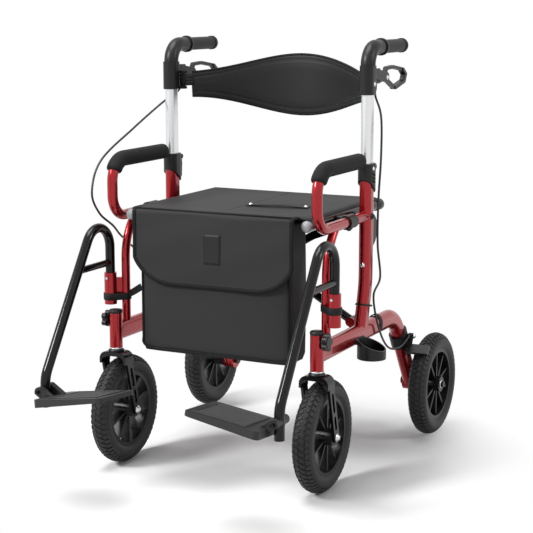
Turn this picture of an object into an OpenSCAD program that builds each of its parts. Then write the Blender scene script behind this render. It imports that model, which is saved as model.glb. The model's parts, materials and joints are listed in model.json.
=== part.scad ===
// Folding rollator transport chair. Millimetres, Z up, the front faces -Y, the floor is Z = 0.
// Y values below are counted from the handle posts; at_post() moves them to the middle of the length.
// The right half is drawn, and the left half is its mirror image.

/* [Wheels] */
// diameter of all four tyres
wheel_d = 254; // [240:1:260]
// width of a tyre
tyre_w = 46; // [40:1:48]
// middle plane of a rear wheel from the middle of the chair
rear_wheel_x = 313; // [311:1:320]
// rear axle behind the handle posts
rear_axle_y = 302; // [290:1:320]
// front wheel axle behind its swivel axis
caster_trail = 33; // [25:1:38]

/* [Side frames] */
// middle plane of a side frame from the middle of the chair
frame_x = 255; // [252:1:257]
// height of the lower rail's section
rail_h = 44; // [40:1:46]
// width of the lower rail's section
rail_w = 30; // [29:1:32]
// long side of the oval upright
upright_l = 40; // [38:1:44]
// short side of the oval upright
upright_w = 28; // [27:1:30]
// top end of the upright above the floor
upright_top = 698; // [690:1:705]
// diameter of the armrest tube
arm_d = 24; // [22:1:25]
// middle of the armrest pad above the floor
arm_z = 715; // [710:1:730]
// diameter of the foam armrest pad
pad_d = 36; // [34:1:40]
// diameter of the front leg
leg_d = 20; // [18:1:22]

/* [Cross fold] */
// lower pivots and seat tubes from the middle of the chair
pivot_x = 220; // [217:1:221]
// middle of the seat tubes above the floor
seat_z = 591; // [585:1:600]
// diameter of the seat tubes
seat_tube_d = 24; // [22:1:25]
// diameter of the cross bars
bar_d = 20; // [18:1:21]
// distance between the two lower pivots when folded
folded_gap = 63; // [60:1:90]

/* [Handles] */
// lower end of the handle moulding above the floor
sleeve_z = 861; // [856:1:880]
// middle of the hand grip above the lower end of the moulding
grip_rise = 105; // [98:1:125]
// length of a hand grip
grip_len = 127; // [110:1:130]
// diameter of a hand grip
grip_d = 31; // [29:1:34]

/* [Footrests] */
// swing axis of a footrest from the middle of the chair
hanger_x = 284; // [282:1:288]
// diameter of the footrest tube
hanger_d = 22; // [20:1:23]
// height of the footrest's lower end above the floor
foot_z = 196; // [190:1:205]
// length of a footplate, from the footrest tube to its inner end
plate_l = 172; // [150:1:180]
// front-to-back size of a footplate
plate_w = 140; // [130:1:145]

/* [Seat, back and bag] */
// front-to-back size of the seat
seat_depth = 390; // [370:1:395]
// width of the bag
bag_w = 386; // [360:1:392]
// front-to-back size of the bag
bag_d = 100; // [80:1:110]
// height of the bag's bottom above the floor
bag_z = 282; // [275:1:300]
// how far the back band sags behind its brackets
back_sag = 180; // [160:1:190]

/* [Hidden] */
$fn = 64;
red = [0.62, 0.05, 0.07];
black = [0.09, 0.09, 0.09];
silver = [0.78, 0.79, 0.80];
rubber = [0.13, 0.13, 0.13];
cloth = [0.11, 0.11, 0.12];

// play of a turning or sliding piece on each side
play = 0.1;
// play of a pin in its bore, on the radius
pin_play = 0.05;
// gap between pieces that move past each other
gap = 0.3;
// overlap that joins two solids of one piece
join = 1;
// how far a straight reaches into a bend, and its share of the bend's section
seam = 0.5;
slimmer = 0.998;
// how much slimmer a bar is than its round ends, on each side
bar_step_in = 0.05;
tube_wall = 1.8;
pin_r = 4;

// wheels and casters
axle_z = wheel_d / 2;
tyre_r = tyre_w / 2;
rim_r = wheel_d / 2 - 36;
rim_wall = 11;
rim_w = 34;
hub_r = 19;
axle_r = 5;
rear_axle_r = 6;
spoke_count = 10;
spoke_t = 5;
spoke_w = 24;
fork_gap = tyre_w / 2 + 6;
fork_plate = 6;
crown_z = wheel_d + 8;
crown_t = 10;
crown_depth = 36;
crown_round = 18;
shoulder_steps = 8;
crown_skirt = 18;
leg_r = 12;
slot_r = 5;
stem_r = 11;

// head tube and lower rail; the rail's height follows the wheel
head_y = -268;
head_d = 30;
head_bottom = wheel_d + 28;
head_len = 80;
rail_z = head_bottom + 36;
rear_bend_y = 178;
rear_bend_r = 90;
rear_bend = atan2(rail_z - axle_z, rear_axle_y - rear_bend_y);
rear_tangent = rear_bend_r * tan(rear_bend / 2);
rear_leg = norm([rear_axle_y - rear_bend_y, rail_z - axle_z]) - rear_tangent;
rail_steps = [[rear_bend_y - rear_tangent - head_y, rear_bend, rear_bend_r], [rear_leg, 0, 0]];
rail_inset = 20;
boss_inset = 3;

// upright: straight down, then leaning forward onto the rail
upright_bend_z = 455;
upright_bend = 14;
upright_bend_r = 200;
upright_foot = (upright_bend_z - upright_bend_r * sin(upright_bend) - rail_z) / cos(upright_bend);
upright_steps = [[upright_top - upright_bend_z, upright_bend, upright_bend_r], [upright_foot, 0, 0]];

// seat rail and armrest in one bent tube, ending free behind the pad
seat_rail_z = seat_z - 6;
arm_r = 50;
arm_front_y = -272;
arm_end_y = -48;
arm_rise = arm_z - seat_rail_z - 2 * arm_r;
arm_top = arm_end_y - arm_front_y - arm_r;
arm_steps = [[-arm_front_y - arm_r, 90, arm_r], [arm_rise, 90, arm_r], [arm_top, 0, 0]];
pad_start = 28;
pad_end = 8;

// front leg: up from the rail, then leaning back under the seat rail
leg_y = -221;
leg_bend = 52;
leg_bend_r = 130;
leg_run = seat_rail_z - 1 - leg_bend_r * sin(leg_bend) - rail_z;
leg_steps = [[leg_run, leg_bend, leg_bend_r]];

// socket that holds the footrest
hanger_y = -242;
socket_d = hanger_d + 7;
socket_z = rail_z + 58;
socket_h = 74;
socket_floor = 4;
button_r = 3;
button_z = socket_z + socket_h - 12;

// cross bars side by side, front one first
front_bar_y = 6;
bar_step = bar_d + 4;
rear_bar_y = front_bar_y + bar_step;
pivot_z = rail_z + 17;
bar_run = norm([2 * pivot_x, seat_z - pivot_z]);
bar_tilt = atan2(seat_z - pivot_z, 2 * pivot_x);
eye_r = bar_d / 2 + 1;
lug_t = 5;
seat_front_y = -248;
seat_rear_y = 160;
cap_len = 9;

// saddle on the seat rail, and the strut that ties it to a cross bar
saddle_y = -120;
saddle_len = 40;
saddle_wall = 4;
strut_x = pivot_x - 4;
strut_z = seat_z - 27;
strut_t = 6;
strut_y = front_bar_y - bar_d / 2 - 28;
strut_w = 14;
// where the strut meets the bar, so that its length is the same open and folded
folded_tilt = acos(folded_gap / bar_run);
open_mid = [0, (pivot_z + seat_z) / 2];
folded_mid = [pivot_x - folded_gap / 2, pivot_z + bar_run / 2 * sin(folded_tilt)];
open_gap = open_mid - [strut_x, strut_z];
fold_gap = folded_mid - [strut_x, strut_z];
open_dir = [cos(bar_tilt), sin(bar_tilt)];
fold_dir = [cos(folded_tilt), sin(folded_tilt)];
strut_meet = (fold_gap * fold_gap - open_gap * open_gap) / (2 * (open_gap * open_dir - fold_gap * fold_dir));
strut_end = open_mid + strut_meet * open_dir;

// handle post, its collar and the collar's lever
post_l = upright_l - 2 * tube_wall - 2 * play;
post_w = upright_w - 2 * tube_wall - 2 * play;
post_wall = 1.5;
post_bottom = 565;
collar_wall = 4;
collar_z = upright_top - 60;
collar_lip = 8;
collar_slope = 43;
latch_y = upright_l / 2 + collar_wall + 7;
latch_z = upright_top - 2;
latch_len = 46;
latch_w = 10;

// handle moulding
sleeve_wall = 4.5;
post_top = sleeve_z + 42;
neck_r = 17;
neck_bend_r = 40;
flange_y = 72;
flange_t = 6;
core_r = 10;
lever_y = 92;
grip_z = sleeve_z + grip_rise;
lever_z = grip_z - 70;
lever_t = 10;
cheek_t = 5;
lever_points = [[0, 0], [14, 20], [52, 22], [112, 14], [130, 2], [122, -14], [64, -27], [0, 0]];
lever_bar_r = 4;
lever_w = 14;
back_pin_r = 3;
back_pin_x = frame_x - 22;
back_pin_y = 18;
bracket_t = 6;
bracket_top = sleeve_z + 37;

// brake on the rear leg
brake_turn = 118;
brake_reach = wheel_d / 2 + 23;
brake_y = rear_axle_y + brake_reach * cos(brake_turn);
brake_z = axle_z + brake_reach * sin(brake_turn);
shoe_turn = 130;
shoe_gap = 4;
shoe_t = 8;
shoe_h = 26;
shoe_reach = wheel_d / 2 + shoe_gap + shoe_t / 2;
shoe_y = rear_axle_y + shoe_reach * cos(shoe_turn);
shoe_z = axle_z + shoe_reach * sin(shoe_turn);
clamp_t = 5;
clamp_len = 36;
clamp_at = (brake_z - axle_z) / sin(rear_bend) - 4;
shoe_in_x = frame_x + rail_w / 2 + clamp_t + 1;
shoe_out_x = rear_wheel_x + 21;

// footrest tube
hanger_bend_r = 50;
hanger_bend = 147;
hanger_top = 510;
hanger_run = 310;
foot_bend = 180 - hanger_bend;
foot_bend_r = 60;
hanger_base = socket_z + socket_floor;
hanger_front = hanger_y - hanger_bend_r * (1 - cos(hanger_bend));
hanger_drop = hanger_top + hanger_bend_r * sin(hanger_bend);
foot_y = hanger_front - hanger_run * sin(foot_bend) - foot_bend_r * (1 - cos(foot_bend));
foot_bend_z = hanger_drop - hanger_run * cos(foot_bend) - foot_bend_r * sin(foot_bend);
hanger_steps = [
  [hanger_top - hanger_base, hanger_bend, hanger_bend_r],
  [hanger_run, foot_bend, foot_bend_r],
  [foot_bend_z - foot_z, 0, 0]
];
brace_z = 474;
brace_r = 8;
brace_front = hanger_front - (hanger_drop - brace_z) * tan(foot_bend);
foot_solid = 30;
plate_pin_z = foot_z + 39;
plate_pin_len = 36;
ear_t = 14;
ear_r = 10;
plate_t = 18;
plate_tip_t = 10;
plate_roll = 8;
plate_pitch = 6;
plate_round = 12;

// reach of the footplates in front of the posts, and of the rear tyres behind them
toe_t = plate_t - plate_round * (plate_t - plate_tip_t) / plate_l;
front_reach = -foot_y + plate_w / 2 * cos(plate_pitch) + toe_t * sin(plate_pitch);
rear_reach = rear_axle_y + wheel_d / 2;
post_y = (front_reach - rear_reach) / 2;

// seat, bag and flap
seat_t = 6;
seat_top = seat_z + seat_tube_d / 2 + seat_t;
seat_y = seat_front_y + 8;
cloth_t = 3;
bag_front_y = -270;
bag_top = seat_z + seat_tube_d / 2;
flap_t = 4;
flap_half = bag_w / 2 + 8;
flap_low = 440;
flap_corner = 34;
flap_roll = 4;
flap_y = seat_y - gap - flap_roll;
flap_z = bag_top + flap_roll + 0.5;
flap_gap = 2;

// back band
band_t = 14;
band_half = back_pin_x;
band_r = (band_half * band_half + back_sag * back_sag) / (2 * back_sag);
band_y = back_pin_y + back_sag - band_r;
band_turn = atan2(band_half, back_pin_y - band_y);
band_z = sleeve_z + 10;
band_end_h = 56;
band_mid_h = 145;
band_drop = 3;
band_steps = 14;

// cane cup on the lower rail and the cane clip on the upright, both on the right
cup_r = 33;
cup_y = -70;
cup_x = frame_x + rail_w / 2 + cup_r - 2;
cup_z = rail_z - 47;
cup_h = 72;
cup_mouth = 33;
cup_slope = 0.4;
cup_wall = 3;
clip_z = 550;
clip_h = 76;
clip_w = 36;
clip_t = 12;

// knob that locks a caster
knob_r = 20;
knob_t = 14;
knob_z = head_bottom + 64;
knob_shaft_r = 3;
knob_lobes = 5;
lobe_r = 7;

// brake cables, from the lever bracket to the brake, as points around which they bend
cable_r = 2.5;
cable_sides = 8;
cable_top = [frame_x, 44, lever_z - 12 - 2 * gap];
cable_end = [shoe_in_x + 5, brake_y - 9.5, brake_z + 2];
cable_low = [[279, 30, 440], [277, -4, 400], [277, 30, 320], [279, 85, 262], [281, 160, 246], cable_end];
right_route = concat([cable_top, [256, 43, 856], [276, 30, 810], [282, 18, 720], [281, 8, 620],
  [279, 12, 520]], cable_low);
left_route = concat([cable_top, [258, 40, 856], [278, -10, 826], [278, -140, 776], [272, -290, 716],
  [266, -340, 650], [262, -318, 600], [262, -262, 564], [272, -205, 528], [277, -100, 470]], cable_low);
cable_rings = 38;

// a smooth line through four route points
function bend_point(a, b, c, d, t) = 0.5 * (2 * b + (c - a) * t + (2 * a - 5 * b + 4 * c - d) * t * t
  + (3 * b - a - 3 * c + d) * t * t * t);
function route_at(route, u) = let (
    last = len(route) - 1,
    i = min(last - 1, floor(u * last)),
    t = u * last - i
  ) bend_point(route[max(0, i - 1)], route[i], route[i + 1], route[min(last, i + 2)], t);
function unit(v) = v / norm(v);
function route_dir(route, u) = unit(route_at(route, min(1, u + 0.004)) - route_at(route, max(0, u - 0.004)));
function cable_ring(route, u) = let (
    along = route_dir(route, u),
    out = unit(cross(along, abs(along[0]) < 0.8 ? [1, 0, 0] : [0, 1, 0])),
    up = cross(along, out)
  ) [for (k = [0:cable_sides - 1])
      route_at(route, u) + cable_r * (cos(360 * k / cable_sides) * out + sin(360 * k / cable_sides) * up)];

// moves a piece from the posts to the middle of the chair's length
module at_post() translate([0, post_y, 0]) children();

// a path that starts at y, z in the plane x and heads up from +Y by an angle
module in_side_plane(x, y, z, heading)
  translate([x, y, z]) rotate([heading, 0, 0]) rotate(a = -120, v = [1, 1, 1]) children();

// oval section with its long side along X
module oval(long, short) {
  square([long - short, short], center = true);
  for (end = [-1, 1]) translate([end * (long - short) / 2, 0]) circle(d = short);
}

// sweeps a section along straights and bends that all turn the same way; a step is [straight, angle, radius];
// a straight after a bend is a hair slimmer, so that its ends lie inside the bends
module tube_path(steps, i = 0) {
  if (i < len(steps)) {
    run = steps[i][0];
    turn = steps[i][1];
    radius = steps[i][2];
    reach_in = i > 0 ? seam : 0;
    reach_out = i > 0 && turn > 0 ? seam : 0;
    if (run > 0)
      translate([0, 0, -reach_in]) linear_extrude(run + reach_in + reach_out)
        scale(i > 0 ? slimmer : 1) children();
    if (turn > 0)
      translate([-radius, 0, run]) {
        intersection() {
          rotate([0, 0, 180]) rotate([90, 0, 0]) rotate_extrude() translate([radius, 0]) children();
          half_space(radius, 0);
          rotate([0, -turn, 0]) half_space(radius, -1);
        }
        rotate([0, -turn, 0]) translate([radius, 0, 0]) tube_path(steps, i + 1) children();
      }
  }
}

// a block above (0) or below (-1) the plane Z = 0, larger than any bend
module half_space(radius, side) {
  reach = 2 * radius + 100;
  translate([-reach, -reach, 2 * side * reach]) cube(2 * reach);
}

// the same path made longer at its start and end, for a bore
module bore_path(steps, start, end) {
  last = len(steps) - 1;
  translate([0, 0, -start])
    tube_path([for (i = [0:last])
      [steps[i][0] + (i == 0 ? start : 0) + (i == last ? end : 0), steps[i][1], steps[i][2]]]) children();
}

// a row of rounded bars from point to point
module stroke(points, r) {
  for (i = [0:len(points) - 2]) {
    run = points[i + 1] - points[i];
    translate(points[i]) rotate(atan2(run[1], run[0])) translate([0, bar_step_in - r])
      square([norm(run), 2 * (r - bar_step_in)]);
    translate(points[i]) circle(r);
  }
  translate(points[len(points) - 1]) circle(r);
}

// a flat shape drawn in Y and Z, thick from x0 to x1
module side_plate(x0, x1) translate([x0, 0, 0]) rotate(a = 120, v = [1, 1, 1])
  linear_extrude(x1 - x0) children();

// a flat shape drawn in X and Z, thick from y0 to y1
module front_plate(y0, y1) translate([0, y1, 0]) rotate([90, 0, 0]) linear_extrude(y1 - y0) children();

module rod_x(x0, x1, y, z, r) translate([x0, y, z]) rotate([0, 90, 0]) cylinder(r = r, h = x1 - x0);
module rod_y(y0, y1, x, z, r) translate([x, y1, z]) rotate([90, 0, 0]) cylinder(r = r, h = y1 - y0);

// outer shapes that neighbours are cut to
module rail_outer() in_side_plane(frame_x, head_y, rail_z, 0) tube_path(rail_steps) oval(rail_h, rail_w);
module upright_outer() in_side_plane(frame_x, 0, upright_top, -90)
  tube_path(upright_steps) oval(upright_l, upright_w);
module arm_outer() in_side_plane(frame_x, 0, seat_rail_z, 180) tube_path(arm_steps) circle(d = arm_d);
// the straight parts of the rail and the seat rail, for ends that are cut to them
module rail_straight() translate([frame_x, head_y, rail_z]) rotate([-90, 0, 0])
  linear_extrude(rail_steps[0][0]) rotate(90) oval(rail_h, rail_w);
module seat_rail_straight() rod_y(arm_front_y + arm_r, 0, frame_x, seat_rail_z, arm_d / 2);
module head_outer() translate([frame_x, head_y, head_bottom]) cylinder(h = head_len, d = head_d);

// lower rail with its head tube, rear axle boss and the lugs of one cross bar
module lower_rail(bar_y) color(red) at_post() {
  difference() {
    union() {
      rail_outer();
      head_outer();
      rod_x(frame_x - rail_w / 2, frame_x + rail_w / 2, rear_axle_y, axle_z, rail_h / 2);
      for (side = [-1, 1]) {
        edge = bar_y + side * (bar_d / 2 + gap + lug_t / 2);
        front_plate(edge - lug_t / 2, edge + lug_t / 2)
          stroke([[frame_x - 4, rail_z], [pivot_x, pivot_z]], eye_r);
      }
    }
    in_side_plane(frame_x, head_y, rail_z, 0)
      bore_path(rail_steps, -rail_inset, -boss_inset) oval(rail_h - 2 * tube_wall, rail_w - 2 * tube_wall);
    translate([frame_x, head_y, head_bottom - join]) cylinder(h = head_len + 2 * join, r = stem_r + play);
    rod_x(0, frame_x + rail_w, rear_axle_y, axle_z, rear_axle_r + pin_play);
    rod_x(frame_x, frame_x + head_d, head_y, knob_z, knob_shaft_r + pin_play);
  }
  rod_y(bar_y - bar_d / 2 - gap - lug_t, bar_y + bar_d / 2 + gap + lug_t, pivot_x, pivot_z, pin_r);
}
module right_lower_rail() lower_rail(front_bar_y);
module left_lower_rail() mirror([1, 0, 0]) lower_rail(rear_bar_y);

module right_upright() color(red) at_post() difference() {
  upright_outer();
  in_side_plane(frame_x, 0, upright_top, -90)
    bore_path(upright_steps, join, join) oval(upright_l - 2 * tube_wall, upright_w - 2 * tube_wall);
  rail_straight();
}
module left_upright() mirror([1, 0, 0]) right_upright();

module right_arm_loop() color(red) at_post() difference() {
  arm_outer();
  in_side_plane(frame_x, 0, seat_rail_z, 180) bore_path(arm_steps, join, join)
    circle(d = arm_d - 2 * tube_wall);
  upright_outer();
}
module left_arm_loop() mirror([1, 0, 0]) right_arm_loop();

// foam pad over the front bend and the top of the armrest, closed at its rear end
module right_arm_pad() color(rubber) at_post() difference() {
  pad_steps = [[0, 90 - pad_start, arm_r], [arm_top + pad_end, 0, 0]];
  in_side_plane(frame_x, arm_front_y + arm_r * (1 - cos(pad_start)), arm_z - arm_r * (1 - sin(pad_start)),
    90 - pad_start) tube_path(pad_steps) circle(d = pad_d);
  arm_outer();
}
module left_arm_pad() mirror([1, 0, 0]) right_arm_pad();

// front leg with the welded socket of the footrest
module right_front_leg() color(red) at_post() {
  difference() {
    in_side_plane(frame_x, leg_y, rail_z, 90) tube_path(leg_steps) circle(d = leg_d);
    in_side_plane(frame_x, leg_y, rail_z, 90) bore_path(leg_steps, join, 0)
      circle(d = leg_d - 2 * tube_wall);
    rail_straight();
    seat_rail_straight();
  }
  difference() {
    union() {
      translate([hanger_x, hanger_y, socket_z]) cylinder(h = socket_h, d = socket_d);
      translate([0, 0, socket_z + 10]) linear_extrude(socket_h - 22)
        stroke([[frame_x, leg_y], [hanger_x, hanger_y]], 4);
    }
    translate([frame_x, leg_y, rail_z]) cylinder(h = leg_run, d = leg_d - tube_wall);
    translate([hanger_x, hanger_y, socket_z + socket_floor]) cylinder(h = socket_h, r = hanger_d / 2 + play);
    rod_y(hanger_y - socket_d, hanger_y, hanger_x, button_z, button_r + play);
  }
}
module left_front_leg() mirror([1, 0, 0]) right_front_leg();

module right_hanger_button() color(silver) at_post()
  rod_y(hanger_y - socket_d / 2 - 3, hanger_y - hanger_d / 2 - gap, hanger_x, button_z, button_r);
module left_hanger_button() mirror([1, 0, 0]) right_hanger_button();

// plastic saddle on the seat rail: a cup open at the top for the seat tube, and the pin of the strut
module right_seat_saddle() color(black) at_post() {
  rail = [frame_x, seat_rail_z];
  tube = [pivot_x, seat_z];
  cup_in = seat_tube_d / 2 + gap;
  difference() {
    front_plate(saddle_y, saddle_y + saddle_len) difference() {
      union() {
        translate(rail) circle(arm_d / 2 + saddle_wall);
        translate(tube) circle(cup_in + saddle_wall);
        stroke([rail, tube], 9);
        stroke([tube, [strut_x, strut_z]], 8);
      }
      translate(tube) circle(cup_in);
      translate(tube - [cup_in, 0]) square([2 * cup_in, 4 * cup_in]);
      translate(rail) circle(d = arm_d);
    }
    arm_outer();
  }
  rod_y(saddle_y + saddle_len - join, strut_y + strut_t + 2, strut_x, strut_z, pin_r);
}
module left_seat_saddle() mirror([1, 0, 0]) right_seat_saddle();

// strut from the saddle to its cross bar, left loose at the bar
module right_strut() color(black) at_post() front_plate(strut_y, strut_y + strut_t) difference() {
  stroke([[strut_x, strut_z], strut_end], strut_w / 2);
  translate([strut_x, strut_z]) circle(pin_r + pin_play);
  translate(strut_end) circle(pin_r);
}
module left_strut() mirror([1, 0, 0]) right_strut();

// cross bar from the left lower pivot to the right seat tube, with the seat tube welded on
module cross_bar(bar_y) {
  tube_len = seat_rear_y - seat_front_y;
  difference() {
    union() {
      translate([-pivot_x, bar_y, pivot_z]) rotate([0, 90 - bar_tilt, 0]) cylinder(h = bar_run, d = bar_d);
      rod_y(bar_y - bar_d / 2, bar_y + bar_d / 2, -pivot_x, pivot_z, eye_r);
      rod_y(seat_front_y, seat_rear_y, pivot_x, seat_z, seat_tube_d / 2);
    }
    translate([-pivot_x, bar_y, pivot_z]) rotate([0, 90 - bar_tilt, 0])
      translate([0, 0, eye_r + 3]) cylinder(h = bar_run - eye_r - 6, d = bar_d - 2 * tube_wall);
    rod_y(seat_front_y + cap_len, seat_rear_y - cap_len, pivot_x, seat_z, seat_tube_d / 2 - tube_wall);
    rod_y(bar_y - bar_d, bar_y + bar_d, -pivot_x, pivot_z, pin_r + pin_play);
    rod_y(bar_y - bar_d, bar_y + bar_d, 0, open_mid[1], pin_r + pin_play);
  }
}
module rear_cross_bar() color(black) at_post() cross_bar(rear_bar_y);
module front_cross_bar() color(black) at_post() {
  mirror([1, 0, 0]) cross_bar(front_bar_y);
  rod_y(front_bar_y - bar_d / 2 - 2, rear_bar_y + bar_d / 2 + 4, 0, open_mid[1], pin_r);
  rod_y(front_bar_y + bar_d / 2 - join, rear_bar_y - bar_d / 2 - gap, 0, open_mid[1], pin_r + 4);
  rod_y(front_bar_y - bar_d / 2 - 2, front_bar_y - bar_d / 2 + join, 0, open_mid[1], pin_r + 4);
}

module right_handle_post() color(silver) at_post() translate([frame_x, 0, post_bottom])
  linear_extrude(post_top - post_bottom) rotate(90) difference() {
    oval(post_l, post_w);
    oval(post_l - 2 * post_wall, post_w - 2 * post_wall);
  }
module left_handle_post() mirror([1, 0, 0]) right_handle_post();

// plastic collar on top of the upright, cut on a slope, with two ears for its lever
module right_height_collar() color(black) at_post() difference() {
  union() {
    translate([frame_x, 0, collar_z]) linear_extrude(upright_top - collar_z + collar_lip)
      rotate(90) oval(upright_l + 2 * collar_wall, upright_w + 2 * collar_wall);
    for (side = [-1, 1]) {
      edge = frame_x + side * (latch_w / 2 + gap + 2);
      side_plate(edge - 2, edge + 2) stroke([[upright_l / 2, latch_z - 2], [latch_y, latch_z]], 6);
    }
  }
  translate([frame_x, 0, collar_z - join]) linear_extrude(upright_top - collar_z + join)
    rotate(90) oval(upright_l, upright_w);
  translate([frame_x, 0, collar_z]) linear_extrude(upright_top)
    rotate(90) oval(post_l + 2 * play, post_w + 2 * play);
  side_plate(frame_x - upright_w, frame_x + upright_w)
    polygon([[-upright_l, collar_z - join], [-upright_l, collar_z + collar_slope],
      [upright_l / 2 + 2, collar_z - join]]);
  for (k = [0:2])
    translate([frame_x + upright_w / 2 - join, 0, upright_top - 17 - 8 * k]) rotate([-18, 0, 0])
      translate([0, -11, -1.5]) cube([upright_w, 22, 3]);
  rod_x(frame_x - upright_w, frame_x + upright_w, latch_y, latch_z, 2 + pin_play);
}
module left_height_collar() mirror([1, 0, 0]) right_height_collar();

// lever of the collar, hanging down behind it on its own cross pin
module right_collar_lever() color(black) at_post() {
  side_plate(frame_x - latch_w / 2, frame_x + latch_w / 2)
    stroke([[latch_y, latch_z], [latch_y + 4, latch_z - 16], [latch_y + 2, latch_z - latch_len]], 4.5);
  rod_x(frame_x - latch_w / 2 - gap - 5, frame_x + latch_w / 2 + gap + 5, latch_y, latch_z, 2);
}
module left_collar_lever() mirror([1, 0, 0]) right_collar_lever();

// handle moulding: sleeve, bent neck, flange, grip core, brake lever bracket and back bracket
module right_handle_sleeve() color(black) at_post() {
  neck_z = grip_z - neck_bend_r;
  cheek_x = lever_t / 2 + gap;
  difference() {
    union() {
      translate([frame_x, 0, sleeve_z]) linear_extrude(neck_z - sleeve_z)
        rotate(90) oval(post_l + 2 * sleeve_wall, post_w + 2 * sleeve_wall);
      in_side_plane(frame_x, 0, neck_z - join, 90)
        tube_path([[join, 90, neck_bend_r], [flange_y - neck_bend_r, 0, 0]]) circle(neck_r);
      rod_flange(flange_y - join, flange_y + flange_t, neck_r + 3);
      rod_flange(flange_y, flange_y + flange_t + grip_len - 8, core_r);
      for (side = [-1, 1]) {
        edge = frame_x + side * (cheek_x + cheek_t / 2);
        side_plate(edge - cheek_t / 2, edge + cheek_t / 2)
          stroke([[post_l / 2, lever_z + 12], [lever_y, lever_z]], 12);
      }
      side_plate(frame_x - cheek_x - join, frame_x + cheek_x + join)
        translate([post_l / 2, lever_z - 12]) square([40, 34]);
      for (z = [sleeve_z, bracket_top])
        front_plate(back_pin_y - 8, back_pin_y + 8) translate([back_pin_x - 6, z]) square([20, bracket_t]);
    }
    translate([frame_x, 0, sleeve_z - join]) linear_extrude(post_top - sleeve_z + join)
      rotate(90) oval(post_l + 2 * pin_play, post_w + 2 * pin_play);
  }
  rod_x(frame_x - cheek_x - join, frame_x + cheek_x + join, lever_y, lever_z, pin_r - 1);
  translate([back_pin_x, back_pin_y, sleeve_z + join])
    cylinder(h = bracket_top + bracket_t - sleeve_z - 2 * join, r = back_pin_r);
}
module rod_flange(y0, y1, r) rod_y(y0, y1, frame_x, grip_z, r);
module left_handle_sleeve() mirror([1, 0, 0]) right_handle_sleeve();

module right_hand_grip() color(rubber) at_post() difference() {
  grip_y = flange_y + flange_t;
  union() {
    rod_flange(grip_y, grip_y + grip_len, grip_d / 2);
    rod_flange(grip_y + grip_len - 8, grip_y + grip_len, grip_d / 2 + 1.5);
  }
  rod_flange(grip_y - join, grip_y + grip_len - 8, core_r);
}
module left_hand_grip() mirror([1, 0, 0]) right_hand_grip();

// loop-shaped brake lever on the bracket's pin
module right_brake_lever() color(black) at_post() difference() {
  union() {
    side_plate(frame_x - lever_t / 2, frame_x + lever_t / 2) translate([lever_y, lever_z]) circle(8);
    side_plate(frame_x - lever_t / 2, frame_x + lever_t / 2)
      translate([lever_y, lever_z]) stroke(lever_points, lever_bar_r);
    side_plate(frame_x - lever_w / 2, frame_x + lever_w / 2) translate([lever_y, lever_z])
      stroke([for (i = [3:6]) lever_points[i]], lever_bar_r);
  }
  rod_x(frame_x - lever_w, frame_x + lever_w, lever_y, lever_z, pin_r - 1 + pin_play);
}
module left_brake_lever() mirror([1, 0, 0]) right_brake_lever();

// one cable, swept along its route
module cable(route) color(black) at_post() {
  points = [for (n = [0:cable_rings]) each cable_ring(route, n / cable_rings)];
  sides = [for (n = [0:cable_rings - 1], k = [0:cable_sides - 1]) [
    n * cable_sides + k, n * cable_sides + (k + 1) % cable_sides,
    (n + 1) * cable_sides + (k + 1) % cable_sides, (n + 1) * cable_sides + k]];
  first = [for (k = [cable_sides - 1:-1:0]) k];
  last = [for (k = [0:cable_sides - 1]) cable_rings * cable_sides + k];
  polyhedron(points, concat(sides, [first], [last]), convexity = 10);
}
module right_brake_cable() cable(right_route);
module left_brake_cable() mirror([1, 0, 0]) cable(left_route);

// clamp on the rear leg with the pin of the brake shoe
module right_brake_bracket() color(black) at_post() {
  difference() {
    in_side_plane(frame_x, rear_axle_y - (clamp_at + clamp_len / 2) * cos(rear_bend),
      axle_z + (clamp_at + clamp_len / 2) * sin(rear_bend), -rear_bend)
      linear_extrude(clamp_len) oval(rail_h + 2 * clamp_t, rail_w + 2 * clamp_t);
    rail_outer();
    in_side_plane(frame_x, rear_axle_y - (clamp_at + clamp_len) * cos(rear_bend),
      axle_z + (clamp_at + clamp_len) * sin(rear_bend), -rear_bend)
      linear_extrude(2 * clamp_len) oval(rail_h, rail_w);
  }
  rod_x(frame_x + rail_w / 2 + join, shoe_in_x + 14, brake_y, brake_z, pin_r);
}
module left_brake_bracket() mirror([1, 0, 0]) right_brake_bracket();

// brake shoe: an arm on the bracket's pin and a bar across the tyre
module right_brake_shoe() color(black) at_post() difference() {
  union() {
    side_plate(shoe_in_x, shoe_in_x + 10) stroke([[brake_y, brake_z], [shoe_y, shoe_z]], 7);
    side_plate(shoe_in_x, shoe_out_x) translate([shoe_y, shoe_z]) rotate(shoe_turn)
      square([shoe_t, shoe_h], center = true);
  }
  rod_x(shoe_in_x - join, shoe_in_x + 20, brake_y, brake_z, pin_r + pin_play);
}
module left_brake_shoe() mirror([1, 0, 0]) right_brake_shoe();

// tyre and rim, drawn around the X axis at the origin
module tyre() rotate([0, 90, 0]) rotate_extrude() difference() {
  translate([wheel_d / 2 - tyre_r, 0]) circle(tyre_r);
  translate([0, -tyre_w]) square([rim_r, 2 * tyre_w]);
}
module rim(hub_in, hub_out) {
  rotate([0, 90, 0]) rotate_extrude() translate([rim_r - rim_wall, -rim_w / 2]) square([rim_wall, rim_w]);
  rod_x(-hub_in, hub_out, 0, 0, hub_r);
  for (k = [0:spoke_count - 1]) rotate([360 / spoke_count * k, 0, 0])
    translate([-spoke_w / 2, -spoke_t / 2, hub_r - 2])
      cube([spoke_w, spoke_t, rim_r - rim_wall - hub_r + 4]);
}

module at_rear_wheel() at_post() translate([rear_wheel_x, rear_axle_y, axle_z]) children();
module right_rear_tyre() color(rubber) at_rear_wheel() tyre();
module left_rear_tyre() mirror([1, 0, 0]) right_rear_tyre();
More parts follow.
